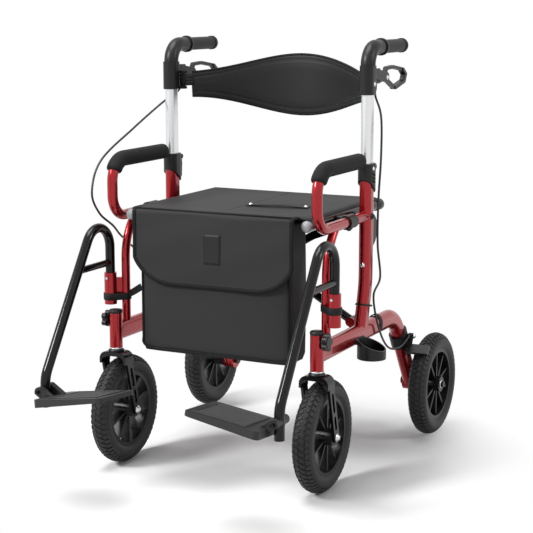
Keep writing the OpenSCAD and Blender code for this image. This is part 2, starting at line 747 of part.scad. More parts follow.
// the rear axle turns with its wheel in the leg's boss
module right_rear_rim() color(black) at_rear_wheel() {
  boss = rear_wheel_x - frame_x - rail_w / 2;
  rim(boss - gap, 24);
  rod_x(-boss - rail_w - 3, -20, 0, 0, rear_axle_r);
  rod_x(-boss - rail_w - 8, -boss - rail_w - gap, 0, 0, rear_axle_r + 4);
  rod_x(20, 31, 0, 0, rear_axle_r + 2);
}
module left_rear_rim() mirror([1, 0, 0]) right_rear_rim();

module at_front_wheel() at_post() translate([frame_x, head_y + caster_trail, axle_z]) children();
module right_front_tyre() color(rubber) at_front_wheel() tyre();
module left_front_tyre() mirror([1, 0, 0]) right_front_tyre();
// the front axle turns with its wheel in the fork
module right_front_rim() color(black) at_front_wheel() {
  rim(fork_gap - gap, fork_gap - gap);
  rod_x(-fork_gap - fork_plate - 5, fork_gap + fork_plate + 5, 0, 0, axle_r);
}
module left_front_rim() mirror([1, 0, 0]) right_front_rim();

// a flat shape in X and Z, rounded at its two upper corners
module round_shouldered(half, low, top, r) {
  right = [for (k = [0:shoulder_steps]) let (turn = 90 * k / shoulder_steps)
    [half - r + r * cos(turn), top - r + r * sin(turn)]];
  left = [for (k = [shoulder_steps:-1:0]) [-right[k][0], right[k][1]]];
  polygon(concat([[-half, low], [half, low]], right, left));
}

// caster fork: stem, a crown bent down at both shoulders, and two slotted legs
module right_caster_fork() color(black) at_post() difference() {
  crown_low = crown_z - crown_skirt;
  top = [head_y + 4, crown_z + crown_t - crown_round - leg_r];
  axle = [head_y + caster_trail, axle_z];
  union() {
    translate([frame_x, head_y, crown_z + join]) {
      cylinder(h = head_bottom + head_len - crown_z - join, r = stem_r);
      cylinder(h = head_bottom - gap - crown_z - join, r = head_d / 2);
    }
    front_plate(head_y - crown_depth / 2, head_y + crown_depth / 2) translate([frame_x, 0]) difference() {
      round_shouldered(fork_gap + fork_plate, crown_low, crown_z + crown_t, crown_round);
      round_shouldered(fork_gap, crown_low - join, crown_z, crown_round - fork_plate);
    }
    for (side = [-1, 1]) {
      edge = frame_x + side * (fork_gap + fork_plate / 2);
      side_plate(edge - fork_plate / 2, edge + fork_plate / 2) difference() {
        stroke([top, axle], leg_r);
        stroke([top + 0.12 * (axle - top), top + 0.44 * (axle - top)], slot_r);
        stroke([top + 0.6 * (axle - top), top + 0.8 * (axle - top)], slot_r);
      }
    }
  }
  rod_x(0, 2 * frame_x, head_y + caster_trail, axle_z, axle_r + pin_play);
}
module left_caster_fork() mirror([1, 0, 0]) right_caster_fork();

// star-shaped locking knob on the outside of the head tube
module right_star_knob() color(black) at_post() {
  start = frame_x + head_d / 2 + gap;
  lobe_at = knob_r - lobe_r;
  rod_x(frame_x + stem_r + 1, start + 2, head_y, knob_z, knob_shaft_r);
  rod_x(start, start + knob_t, head_y, knob_z, lobe_at);
  for (k = [0:knob_lobes - 1])
    rod_x(start + 3, start + knob_t - 1, head_y + lobe_at * cos(360 / knob_lobes * k),
      knob_z + lobe_at * sin(360 / knob_lobes * k), lobe_r);
}
module left_star_knob() mirror([1, 0, 0]) right_star_knob();

// a path that rises from the socket and turns to the front
module at_hanger() translate([hanger_x, hanger_y, hanger_base]) rotate([0, 0, 180])
  in_side_plane(0, 0, 0, 90) children();

// footrest tube with its brace and the pin of the footplate
module right_footrest() color(black) at_post() difference() {
  union() {
    at_hanger() tube_path(hanger_steps) circle(d = hanger_d);
    rod_y(brace_front, hanger_y, hanger_x, brace_z, brace_r);
    rod_y(foot_y - plate_pin_len, foot_y + plate_pin_len, hanger_x, plate_pin_z, pin_r);
    rod_y(foot_y - 13, foot_y + 13, hanger_x, plate_pin_z, ear_r);
  }
  at_hanger() bore_path(hanger_steps, join, -foot_solid) circle(d = hanger_d - 2 * tube_wall);
  rod_y(hanger_y - hanger_d, hanger_y, hanger_x, button_z, button_r + play);
}
module left_footrest() mirror([1, 0, 0]) right_footrest();

// footplate: a slab tipped up at its toe and inner end, with two ears on the footrest's pin
module right_footplate() color(black) at_post() difference() {
  outer_x = hanger_x - hanger_d / 2 - 3;
  thinner = atan2(plate_t - plate_tip_t, plate_l);
  union() {
    translate([outer_x, foot_y, plate_pin_z - 13]) rotate([-plate_pitch, plate_roll, 0]) difference() {
      translate([-plate_l, -plate_w / 2, -plate_t]) linear_extrude(plate_t) {
        translate([plate_round, 0]) square([plate_l - 2 * plate_round, plate_w]);
        translate([0, plate_round]) square([plate_l, plate_w - 2 * plate_round]);
        for (x = [plate_round, plate_l - plate_round], y = [plate_round, plate_w - plate_round])
          translate([x, y]) circle(plate_round);
      }
      translate([0, 0, -plate_t]) rotate([0, thinner, 0]) translate([-2 * plate_l, -plate_w, -plate_t])
        cube([2 * plate_l, 2 * plate_w, plate_t]);
    }
    for (y = [foot_y - 13 - gap - ear_t, foot_y + 13 + gap])
      front_plate(y, y + ear_t) stroke([[hanger_x, plate_pin_z], [outer_x - 14, plate_pin_z - 18]], ear_r);
  }
  rod_y(foot_y - plate_w, foot_y + plate_w, hanger_x, plate_pin_z, pin_r + pin_play);
}
module left_footplate() mirror([1, 0, 0]) right_footplate();

// half of the seat sling, lying on its seat tube and meeting the other half in the middle
module right_seat() color(cloth) at_post()
  translate([gap / 2, seat_y, seat_top - seat_t]) cube([pivot_x + 6, seat_depth, seat_t]);
module left_seat() mirror([1, 0, 0]) right_seat();

// swelling of the back band, and its lower and upper edge, at a share s of the way from its end to the middle
function band_swell(s) = (1 - cos(180 * pow(s, 1.25))) / 2;
function band_low(s) = band_z - band_end_h / 2 - (band_drop + (band_mid_h - band_end_h) / 2) * band_swell(s);
function band_high(s) = band_z + band_end_h / 2
  + ((band_mid_h - band_end_h) / 2 - band_drop) * band_swell(s);
function band_edge(s, height) = [band_r * sin(band_turn * (1 - s)) + gap / 2, height];

// half of the back band: a round wall cut to the band's outline, with a sleeve on the bracket's pin
module right_backrest() color(cloth) at_post() {
  pin_bore = back_pin_r + pin_play;
  pin_low = sleeve_z + bracket_t + gap;
  difference() {
    union() {
      intersection() {
        translate([0, band_y, band_z - band_mid_h]) difference() {
          cylinder(h = 2 * band_mid_h, r = band_r + band_t / 2, $fn = 128);
          translate([0, 0, -join])
            cylinder(h = 2 * band_mid_h + 2 * join, r = band_r - band_t / 2, $fn = 128);
        }
        front_plate(back_pin_y, back_pin_y + 2 * back_sag) polygon(concat(
          [for (i = [0:band_steps]) band_edge(i / band_steps, band_low(i / band_steps))],
          [for (i = [band_steps:-1:0]) band_edge(i / band_steps, band_high(i / band_steps))]));
      }
      translate([back_pin_x, back_pin_y, pin_low])
        cylinder(h = bracket_top - gap - pin_low, r = pin_bore + 3);
    }
    translate([back_pin_x, back_pin_y, band_z - band_mid_h]) cylinder(h = 2 * band_mid_h, r = pin_bore);
    for (z = [sleeve_z, bracket_top])
      translate([back_pin_x - 14, back_pin_y - 12, z - 1.5]) cube([40, 24, bracket_t + 3]);
  }
}
module left_backrest() mirror([1, 0, 0]) right_backrest();

// bag: a box of cloth, open at the top, hung on the seat tubes by two loops
module bag() color(cloth) at_post() {
  loop_r = seat_tube_d / 2 + pin_play;
  difference() {
    translate([-bag_w / 2, bag_front_y, bag_z]) cube([bag_w, bag_d, bag_top - bag_z]);
    translate([-bag_w / 2 + cloth_t, bag_front_y + cloth_t, bag_z + cloth_t])
      cube([bag_w - 2 * cloth_t, bag_d - 2 * cloth_t, bag_top - bag_z]);
  }
  for (side = [-1, 1])
    front_plate(-222, -192) difference() {
      union() {
        translate([side * pivot_x, seat_z]) circle(loop_r + 2);
        translate([side * (pivot_x + bag_w / 2) / 2, seat_z - 1])
          square([pivot_x - bag_w / 2 + 2 * join, 4], center = true);
      }
      translate([side * pivot_x, seat_z]) circle(loop_r);
      translate([-bag_w, bag_top]) square([2 * bag_w, 20]);
    }
}

// flap over the bag's front, hinged on the roll at the seat's front edge
module bag_flap() color(cloth) at_post() {
  front_y = bag_front_y - flap_gap - flap_t;
  difference() {
    union() {
      rod_x(-flap_half, flap_half, flap_y, flap_z, flap_roll);
      side_plate(-flap_half, flap_half)
        stroke([[flap_y, flap_z], [front_y + 5, flap_z - 0.5], [front_y + flap_t / 2, flap_z - 6],
          [front_y + flap_t / 2, flap_low]], flap_t / 2);
    }
    for (side = [-1, 1])
      front_plate(front_y - 10, front_y + 20) polygon([[side * flap_half, flap_low - 10],
        [side * flap_half, flap_low + flap_corner], [side * (flap_half - 2 * flap_corner), flap_low - 10]]);
  }
}

// cup for the tip of a cane, on the outside of the lower rail
module cane_cup() color(black) at_post() difference() {
  union() {
    translate([cup_x, cup_y, cup_z]) cylinder(h = cup_h, r = cup_r);
    translate([frame_x + rail_w / 2 - join, cup_y - 24, rail_z - 14]) cube([12, 48, 24]);
  }
  translate([cup_x, cup_y, cup_z + cup_wall]) cylinder(h = cup_h, r = cup_r - cup_wall);
  front_plate(cup_y - 2 * cup_r, cup_y + 2 * cup_r) translate([cup_x, cup_z + cup_mouth])
    polygon([[-2 * cup_r, 2 * cup_r * cup_slope], [2 * cup_r, -2 * cup_r * cup_slope], [2 * cup_r, 2 * cup_h],
      [-2 * cup_r, 2 * cup_h]]);
  rail_outer();
}

// D-shaped clip for the cane's shaft, on the back of the upright
module cane_clip() color(black) at_post() difference() {
  side_plate(frame_x - clip_t / 2, frame_x + clip_t / 2)
    translate([upright_l / 2 - 8, clip_z]) difference() {
    circle(d = clip_h + 6);
    translate([-clip_h, -clip_h]) square([clip_h, 2 * clip_h]);
    translate([clip_w + 8, -clip_h]) square([clip_h, 2 * clip_h]);
  }
  upright_outer();
}

right_lower_rail();
left_lower_rail();
right_upright();
left_upright();
right_arm_loop();
left_arm_loop();
right_arm_pad();
left_arm_pad();
right_front_leg();
left_front_leg();
right_hanger_button();
left_hanger_button();
right_seat_saddle();
left_seat_saddle();
right_strut();
left_strut();
rear_cross_bar();
front_cross_bar();
right_handle_post();
left_handle_post();
right_height_collar();
left_height_collar();
right_collar_lever();
left_collar_lever();
right_handle_sleeve();
left_handle_sleeve();
right_hand_grip();
left_hand_grip();
right_brake_lever();
left_brake_lever();
right_brake_cable();
left_brake_cable();
right_brake_bracket();
left_brake_bracket();
right_brake_shoe();
left_brake_shoe();
right_rear_tyre();
left_rear_tyre();
right_rear_rim();
left_rear_rim();
right_front_tyre();
left_front_tyre();
right_front_rim();
left_front_rim();
right_caster_fork();
left_caster_fork();
right_star_knob();
left_star_knob();
right_footrest();
left_footrest();
right_footplate();
left_footplate();
right_seat();
left_seat();
right_backrest();
left_backrest();
bag();
bag_flap();
cane_cup();
cane_clip();
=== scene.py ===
# %% [markdown]
# # A folding rollator that is also a transport chair
# The frame file gives every hard piece in its real place. This script gives each one its finish, replaces
# the soft pieces by sewn ones, adds the small trim, and sets up a plain white studio.

# %% Set up
import json
from math import atan2, cos, pi, radians, sin, sqrt, tau

import bmesh
import bpy
from mathutils import Matrix, Vector


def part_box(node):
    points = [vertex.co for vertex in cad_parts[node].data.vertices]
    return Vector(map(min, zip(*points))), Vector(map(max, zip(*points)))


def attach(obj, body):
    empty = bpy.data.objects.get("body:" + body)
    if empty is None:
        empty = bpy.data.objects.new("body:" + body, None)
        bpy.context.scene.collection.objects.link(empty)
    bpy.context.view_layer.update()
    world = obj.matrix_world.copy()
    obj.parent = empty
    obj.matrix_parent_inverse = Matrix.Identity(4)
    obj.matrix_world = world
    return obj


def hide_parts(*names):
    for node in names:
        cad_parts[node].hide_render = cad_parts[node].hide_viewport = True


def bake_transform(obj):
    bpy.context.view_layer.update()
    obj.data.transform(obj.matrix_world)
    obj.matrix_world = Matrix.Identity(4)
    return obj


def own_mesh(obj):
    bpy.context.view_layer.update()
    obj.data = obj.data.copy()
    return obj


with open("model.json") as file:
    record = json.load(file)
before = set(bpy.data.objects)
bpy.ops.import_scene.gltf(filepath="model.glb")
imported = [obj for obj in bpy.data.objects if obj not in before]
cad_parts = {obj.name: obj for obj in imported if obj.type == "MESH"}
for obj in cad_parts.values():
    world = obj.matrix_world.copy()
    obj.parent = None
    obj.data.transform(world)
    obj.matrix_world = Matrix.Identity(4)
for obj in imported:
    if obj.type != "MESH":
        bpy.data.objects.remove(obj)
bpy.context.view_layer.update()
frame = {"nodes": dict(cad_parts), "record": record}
SIDES = {"right": 1, "left": -1}


def middle(node):
    """The middle of a hard piece's box."""
    low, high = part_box(node)
    return (Vector(low) + Vector(high)) / 2


def both_sides(make):
    """Runs a function for the right side and for the left one."""
    for side, s in SIDES.items():
        make(side, s)


post = middle("right_handle_post")
post_y = post.y
frame_x = post.x


def from_posts(s, x, y, z):
    """A point of one side: x from the middle, y from the posts, z from the floor."""
    return (s * x, post_y + y, z)


print("nodes", len(frame["nodes"]), "posts at", round(frame_x, 4), round(post_y, 4))

# %% [markdown]
# ## Meshes from rings and grids
# Almost every added piece is a row of rings joined by faces: a tube, a strap, a bag wall. A sheet of
# cloth is a grid that gets a back side, and a bolt or a cap is a profile turned about its axis. Modifiers
# could do much of this, but points made here keep every size in metres and in sight.

# %% Mesh helpers
CORNERS = ((-1, -1), (1, -1), (1, 1), (-1, 1))


def in_scene(name, data):
    """An object with this data, linked to the scene."""
    obj = bpy.data.objects.new(name, data)
    bpy.context.scene.collection.objects.link(obj)
    return obj


def new_object(name, points, faces, material, smooth=True):
    """A mesh object at the origin, with its place in its vertices; its name gets no spaces."""
    name = name.replace(" ", "_")
    mesh = bpy.data.meshes.new(name)
    mesh.from_pydata([tuple(p) for p in points], [], faces)
    mesh.validate()
    mesh.update()
    mesh.materials.append(material)
    for polygon in mesh.polygons:
        polygon.use_smooth = smooth
    return in_scene(name, mesh)


def turned_outward(obj):
    """Joins the seam of a closed mesh and turns its faces outward."""
    work = bmesh.new()
    work.from_mesh(obj.data)
    bmesh.ops.remove_doubles(work, verts=work.verts, dist=1e-6)
    bmesh.ops.recalc_face_normals(work, faces=work.faces)
    work.to_mesh(obj.data)
    work.free()
    return obj


def solid(name, rings, material, closed=True, smooth=True):
    """A mesh through rings of equal length, with its ends closed or left open."""
    count = len(rings[0])
    points = [p for ring in rings for p in ring]
    last = len(rings) - 1
    faces = []
    for i in range(last):
        for k in range(count):
            a = i * count + k
            b = i * count + (k + 1) % count
            faces.append((a, b, b + count, a + count))
    if closed:
        faces.append(tuple(range(count - 1, -1, -1)))
        faces.append(tuple(last * count + k for k in range(count)))
    return turned_outward(new_object(name, points, faces, material, smooth))


def curve_through(points, per_span=8):
    """A smooth line through the points."""
    points = [Vector(p) for p in points]
    line = []
    for i in range(len(points) - 1):
        before = points[max(0, i - 1)]
        start = points[i]
        end = points[i + 1]
        after = points[min(len(points) - 1, i + 2)]
        bend = 2 * before - 5 * start + 4 * end - after
        twist = 3 * start - before - 3 * end + after
        for n in range(per_span):
            t = n / per_span
            line.append(0.5 * (2 * start + (end - before) * t + bend * t * t + twist * t ** 3))
    line.append(points[-1])
    return line


def circle(first, second, sides):
    """Directions all around, from the first one towards the second."""
    turns = [tau * k / sides for k in range(sides)]
    return [cos(turn) * first + sin(turn) * second for turn in turns]


def along(points, i):
    """The direction of a line at its point i."""
    return (points[min(len(points) - 1, i + 1)] - points[max(0, i - 1)]).normalized()


def walked(line):
    """The lengths along a line from its start to each of its points."""
    lengths = [0]
    for i in range(1, len(line)):
        lengths.append(lengths[-1] + (line[i] - line[i - 1]).length)
    return lengths


def tube(name, points, radius, material, sides=12, flat=1.0, up=(0, 0, 1)):
    """A round cord along a line, of one radius or a list; flat below 1 presses it along the up direction."""
    points = [Vector(p) for p in points]
    radii = radius if isinstance(radius, list) else [radius] * len(points)
    normal = Vector(up)
    rings = []
    for i, place in enumerate(points):
        ahead = along(points, i)
        normal = (normal - ahead * normal.dot(ahead)).normalized()
        side = ahead.cross(normal)
        rings.append([place + radii[i] * out for out in circle(side, flat * normal, sides)])
    return solid(name, rings, material)


def cloth(name, place, across, down, thickness, material):
    """A sheet: place(u, v) gives its front and the direction of its front; it gets a back and a rim."""
    front = [[place(u / across, v / down) for u in range(across + 1)] for v in range(down + 1)]
    count = (across + 1) * (down + 1)
    points = [p for row in front for p, n in row] + [p - thickness * n for row in front for p, n in row]
    faces = []
    for v in range(down):
        for u in range(across):
            a = v * (across + 1) + u
            b = a + across + 1
            faces.append((a, a + 1, b + 1, b))
            faces.append((count + a, count + b, count + b + 1, count + a + 1))
    rim = list(range(across))
    rim += [v * (across + 1) + across for v in range(down)]
    rim += [down * (across + 1) + u for u in range(across, 0, -1)]
    rim += [v * (across + 1) for v in range(down, 0, -1)]
    for i, a in enumerate(rim):
        b = rim[(i + 1) % len(rim)]
        faces.append((b, a, count + a, count + b))
    return turned_outward(new_object(name, points, faces, material))


def lathe(name, profile, start, direction, material, sides=24, closed=True):
    """Pairs of place along and radius, turned about the line from start in a direction."""
    axis = Vector(direction).normalized()
    first = axis.orthogonal().normalized()
    outs = circle(first, axis.cross(first), sides)
    rings = [[Vector(start) + axis * step + radius * out for out in outs] for step, radius in profile]
    return solid(name, rings, material, closed)


# %% [markdown]
# ## Finishes
# Each finish is named after the real coating or material. Pictures could be wrapped around the pieces,
# but noise and waves of a real size need no unwrapping and stay sharp from near. One function adds a node
# with its values and links, so that each finish below takes a line or two.

# %% Material helpers


def linear(code):
    """A colour code such as #8A1020 as linear red, green, blue and alpha."""
    channels = [int(code[i:i + 2], 16) / 255 for i in (1, 3, 5)]
    return [c / 12.92 if c <= 0.04045 else ((c + 0.055) / 1.055) ** 2.4 for c in channels] + [1.0]


def add(tree, kind, values=None, **settings):
    """A node with its settings; each input gets its value, or a link from another node's output."""
    node = tree.nodes.new(kind)
    for key, value in settings.items():
        setattr(node, key, value)
    for key, value in (values or {}).items():
        if isinstance(value, bpy.types.NodeSocket):
            tree.links.new(value, node.inputs[key])
        else:
            node.inputs[key].default_value = value
    return node


def math_node(tree, operation, first, second):
    return add(tree, "ShaderNodeMath", {0: first, 1: second}, operation=operation).outputs["Value"]


def finish_of(name, code, roughness, metallic=0.0, shine=0.5, **more):
    """A plain surface; shine is its specular level, and more holds other inputs, with _ for a space."""
    material = bpy.data.materials.new(name)
    material.use_nodes = True
    shader = material.node_tree.nodes["Principled BSDF"]
    values = {"Base Color": linear(code), "Roughness": roughness, "Metallic": metallic}
    values["Specular IOR Level"] = shine
    values.update({key.replace("_", " "): value for key, value in more.items()})
    for key, value in values.items():
        shader.inputs[key].default_value = value
    return material


def bumps(tree, height, depth, strength):
    """Gives the surface of a finish a height in metres."""
    bump = add(tree, "ShaderNodeBump", {"Height": height, "Strength": strength, "Distance": depth})
    tree.links.new(bump.outputs["Normal"], tree.nodes["Principled BSDF"].inputs["Normal"])


def grain(material, size, depth, strength=0.5, stretch=(1, 1, 1)):
    """Fine bumps of a real size in metres."""
    tree = material.node_tree
    place = add(tree, "ShaderNodeTexCoord").outputs["Object"]
    scaled = add(tree, "ShaderNodeMapping", {"Vector": place, "Scale": stretch}).outputs["Vector"]
    values = {"Vector": scaled, "Scale": 1 / size, "Detail": 3.0, "Roughness": 0.55}
    bumps(tree, add(tree, "ShaderNodeTexNoise", values).outputs["Fac"], depth, strength)
    return material


def weave(material, pitch, depth, strength=0.5):
    """Two crossed sets of threads, one pitch apart."""
    tree = material.node_tree
    place = add(tree, "ShaderNodeTexCoord").outputs["Object"]
    values = {"Vector": place, "Scale": 1 / pitch / pi, "Distortion": 0.4, "Detail": 1.0}
    waves = [add(tree, "ShaderNodeTexWave", values, bands_direction=way).outputs["Fac"] for way in ("X", "Z")]
    bumps(tree, math_node(tree, "MULTIPLY", *waves), depth, strength)
    return material


# %% [markdown]
# The side frames are aluminium tube with a candy red powder coat: a metallic base under a clear layer.
# The bars, forks and footrests are steel with a gloss black powder coat. The handle posts are anodised
# aluminium, with their grain drawn out along the tube.

# %% Finishes of the hard pieces
DRAWN = (1, 1, 0.02)
red_coat = finish_of("candy red powder coat", "#9C0A16", 0.24, 0.7, Coat_Weight=0.5, Coat_Roughness=0.04)
grain(red_coat, 0.0006, 0.00003, 0.05)
black_coat = grain(finish_of("gloss black powder coat", "#0C0C0D", 0.13, shine=0.28), 0.0008, 0.00003, 0.04)
alloy = grain(finish_of("satin anodised aluminium", "#DFE0E2", 0.33, 1.0), 0.0004, 0.00002, 0.04, DRAWN)
moulding = grain(finish_of("black polypropylene", "#131314", 0.38, shine=0.3), 0.0009, 0.00005, 0.3)
nylon = grain(finish_of("grained black nylon", "#29292A", 0.45, shine=0.3), 0.0012, 0.0001, 0.5)
grip_rubber = grain(finish_of("soft black rubber", "#141415", 0.55, shine=0.3), 0.0012, 0.00008, 0.4)
foam = grain(finish_of("black closed-cell foam", "#131314", 0.8, shine=0.25), 0.0011, 0.00025, 0.7)
tyre_rubber = grain(finish_of("grey-black tyre rubber", "#1D1D1E", 0.55, shine=0.35), 0.0016, 0.0001, 0.4)
cable_jacket = finish_of("black cable jacket", "#0E0E0E", 0.35)
zinc = finish_of("bright zinc-plated steel", "#CDCFD2", 0.2, 1.0)
cap_grey = finish_of("light grey cap plastic", "#8F9194", 0.4)
print("hard finishes", len(bpy.data.materials))

# %% [markdown]
# The seat, the bag and the back band are black coated polyester with a faint leather-like grain, sewn
# with black thread and bound with woven tape. The weave is two crossed waves, because single threads
# would cost far too many faces.

# %% Finishes of the soft pieces
coated_cloth = grain(finish_of("black coated polyester", "#313132", 0.6, shine=0.08), 0.0013, 0.00012, 0.45)
band_cloth = grain(finish_of("black padded polyester", "#1A1A1B", 0.52, shine=0.25), 0.001, 0.0001, 0.45)
tape = weave(finish_of("black woven binding tape", "#0C0C0D", 0.7, shine=0.2), 0.0012, 0.0002, 0.6)
thread = finish_of("black sewing thread", "#3A3A3B", 0.6)
webbing = weave(finish_of("black nylon webbing", "#121213", 0.6, shine=0.25), 0.0014, 0.00025, 0.7)

SLOTS = {"frame_paint": red_coat, "black_tube": black_coat, "handle_alloy": alloy, "black_moulding": moulding,
         "grip_rubber": grip_rubber, "foam": foam, "tyre_rubber": tyre_rubber, "cable_jacket": cable_jacket,
         "cloth": coated_cloth, "steel": zinc}
slot_of = {part["node"]: part["material_slot"] for part in frame["record"]["subparts"]}
for node, obj in frame["nodes"].items():
    obj.data.materials.clear()
    obj.data.materials.append(nylon if node.endswith("footplate") else SLOTS[slot_of[node]])
print("finishes", len(bpy.data.materials), "on", len(frame["nodes"]), "hard pieces")

# %% [markdown]
# ## Trees for what repeats
# Tread blocks are copies turned about a wheel's axle, stitches are copies along a seam, and the ribs of a
# footplate are copies in a row. Array modifiers could make them too, but one Geometry Nodes tree with
# named inputs serves every piece of its kind.

# %% Geometry Nodes helpers


def geometry_tree(name, inputs):
    """A tree with a geometry input and output and named inputs; gives the tree and its inputs by name."""
    tree = bpy.data.node_groups.new(name, "GeometryNodeTree")
    for label, kind in {"Geometry": "Geometry", **inputs, "Material": "Material"}.items():
        tree.interface.new_socket(label, in_out="INPUT", socket_type="NodeSocket" + kind)
    tree.interface.new_socket("Geometry", in_out="OUTPUT", socket_type="NodeSocketGeometry")
    return tree, add(tree, "NodeGroupInput").outputs


def end_tree(tree, given, **places):
    """Puts copies on points, makes them real and gives them their finish."""
    copies = add(tree, "GeometryNodeInstanceOnPoints", places).outputs["Instances"]
    real = add(tree, "GeometryNodeRealizeInstances", {"Geometry": copies}).outputs["Geometry"]
    paint = add(tree, "GeometryNodeSetMaterial", {"Geometry": real, "Material": given["Material"]})
    add(tree, "NodeGroupOutput", {"Geometry": paint.outputs["Geometry"]})
    return tree


def spin_tree():
    """Copies of a piece turned about the X axis through a centre."""
    tree, given = geometry_tree("turned copies", {"Count": "Int", "Start": "Float", "Center": "Vector"})
    index = add(tree, "GeometryNodeInputIndex").outputs["Index"]
    step = math_node(tree, "DIVIDE", tau, given["Count"])
    turn = math_node(tree, "ADD", math_node(tree, "MULTIPLY", index, step), given["Start"])
    angles = add(tree, "ShaderNodeCombineXYZ", {"X": turn}).outputs["Vector"]
    points = add(tree, "GeometryNodePoints", {"Count": given["Count"], "Position": given["Center"]})
    return end_tree(tree, given, Points=points.outputs["Points"], Instance=given["Geometry"], Rotation=angles)


def stitch_tree():
    """Stitches along an edge line, one every pitch."""
    tree, given = geometry_tree("stitches", {"Pitch": "Float", "Length": "Float", "Radius": "Float"})
    line = add(tree, "GeometryNodeMeshToCurve", {"Mesh": given["Geometry"]}).outputs["Curve"]
    spaced = {"Curve": line, "Length": given["Pitch"]}
    places = add(tree, "GeometryNodeCurveToPoints", spaced, mode="LENGTH").outputs
    shape = add(tree, "GeometryNodeMeshUVSphere", {"Segments": 6, "Rings": 5, "Radius": 1.0})
    align = add(tree, "FunctionNodeAlignRotationToVector", {"Vector": places["Tangent"]}, axis="X")
    half = math_node(tree, "MULTIPLY", given["Length"], 0.5)
    size = add(tree, "ShaderNodeCombineXYZ", {"X": half, "Y": given["Radius"], "Z": given["Radius"]})
    return end_tree(tree, given, Points=places["Points"], Instance=shape.outputs["Mesh"],
                    Rotation=align.outputs["Rotation"], Scale=size.outputs["Vector"])


def row_tree():
    """Copies of a piece in a straight row."""
    tree, given = geometry_tree("row of copies", {"Count": "Int", "Step": "Vector"})
    index = add(tree, "GeometryNodeInputIndex").outputs["Index"]
    shift = add(tree, "ShaderNodeVectorMath", {"Vector": given["Step"], "Scale": index}, operation="SCALE")
    points = add(tree, "GeometryNodePoints", {"Count": given["Count"], "Position": shift.outputs["Vector"]})
    return end_tree(tree, given, Points=points.outputs["Points"], Instance=given["Geometry"])


def grown(obj, tree, **values):
    """Runs a tree on an object and keeps the result as a plain mesh."""
    modifier = obj.modifiers.new(tree.name, "NODES")
    modifier.node_group = tree
    for item in tree.interface.items_tree:
        if item.in_out == "INPUT" and item.name in values:
            modifier[item.identifier] = values[item.name]
    bpy.context.view_layer.update()
    view = bpy.context.evaluated_depsgraph_get()
    mesh = bpy.data.meshes.new_from_object(obj.evaluated_get(view))
    obj.modifiers.clear()
    obj.data = mesh
    return obj


SPIN = spin_tree()
STITCH = stitch_tree()
ROW = row_tree()
STITCH_PITCH = 0.0046
STITCH_LENGTH = 0.0032
STITCH_RADIUS = 0.00045


def stitches(name, line):
    """A seam of stitches along a line of points."""
    name = name.replace(" ", "_")
    mesh = bpy.data.meshes.new(name)
    mesh.from_pydata([tuple(p) for p in line], [(i, i + 1) for i in range(len(line) - 1)], [])
    obj = in_scene(name, mesh)
    return grown(obj, STITCH, Pitch=STITCH_PITCH, Length=STITCH_LENGTH, Radius=STITCH_RADIUS, Material=thread)


print("trees", [tree.name for tree in (SPIN, STITCH, ROW)])

# %% [markdown]
# ## Brake cables
# A cable leaves each lever bracket downwards and ends on the brake at the rear wheel. The right one runs
# down along the upright; the left one swings out in front of the armrest first. Points are given for the
# right side, with y from the posts. A mesh is used and not a bevelled curve.

# %% Brake cables
CABLE_D = 0.005
CABLE_TOP = (0.255, 0.044, 0.8834)
CABLE_LOW = [(0.279, 0.03, 0.44), (0.277, -0.004, 0.4), (0.277, 0.03, 0.32), (0.279, 0.085, 0.262),
             (0.281, 0.16, 0.246), (0.281, 0.2221, 0.2614)]
CABLE_ROUTES = {
    "right": [CABLE_TOP, (0.256, 0.043, 0.856), (0.276, 0.03, 0.81), (0.282, 0.018, 0.72),
              (0.281, 0.008, 0.62), (0.279, 0.012, 0.52)] + CABLE_LOW,
    "left": [CABLE_TOP, (0.258, 0.04, 0.856), (0.278, -0.01, 0.826), (0.278, -0.14, 0.776),
             (0.272, -0.29, 0.716), (0.266, -0.34, 0.65), (0.262, -0.318, 0.6), (0.262, -0.262, 0.564),
             (0.272, -0.205, 0.528), (0.277, -0.1, 0.47)] + CABLE_LOW}
CABLE_STEPS = 12
FERRULE = [(0, 0.0026), (0.0005, 0.0042), (0.014, 0.0042), (0.018, 0.0027)]


def brake_cable(side, s):
    line = curve_through([from_posts(s, *point) for point in CABLE_ROUTES[side]], CABLE_STEPS)
    length = walked(line)[-1]
    obj = tube(side + " cable", line, CABLE_D / 2, cable_jacket, 10)
    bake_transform(obj)
    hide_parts(side + "_brake_cable")
    top = lathe(side + " cable ferrule", FERRULE, line[0], line[CABLE_STEPS // 2] - line[0], moulding)
    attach(top, side + "_handle")
    return length


CABLE_LENGTH = {side: round(brake_cable(side, s), 3) for side, s in SIDES.items()}
print("cable lengths", CABLE_LENGTH)

# %% [markdown]
# ## Seat
# The seat is one sheet of coated cloth over a thin foam, sewn around the two seat tubes and folding in
# the middle. Each half turns with its own tube, so two halves are made. A cloth simulation would crease
# them as the chair folds; here each half is hung on its body and keeps its shape in every pose.

# %% Seat halves
SEAT_TUBE_X = 0.22
SEAT_THICK = 0.005
SEAT_SAG = 0.0025
SAG_FADE = 0.05
HEM = 0.012
HEM_ROUND = 0.006
HEM_DROP = 0.0012
SEAM_SINK = 0.0009
SEAM_HALF = 0.0035
ROLL_START = 0.95
ROLL_DROP = 0.006
SEAM_LIFT = Vector((0, 0, 0.0006))


def pressed_by_fold(obj, body):
    """Hangs a soft piece on its body and gives it a mesh of its own."""
    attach(obj, body)
    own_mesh(obj)
    return obj


def on_seat(obj, side, s):
    return pressed_by_fold(obj, side + "_seat_half")


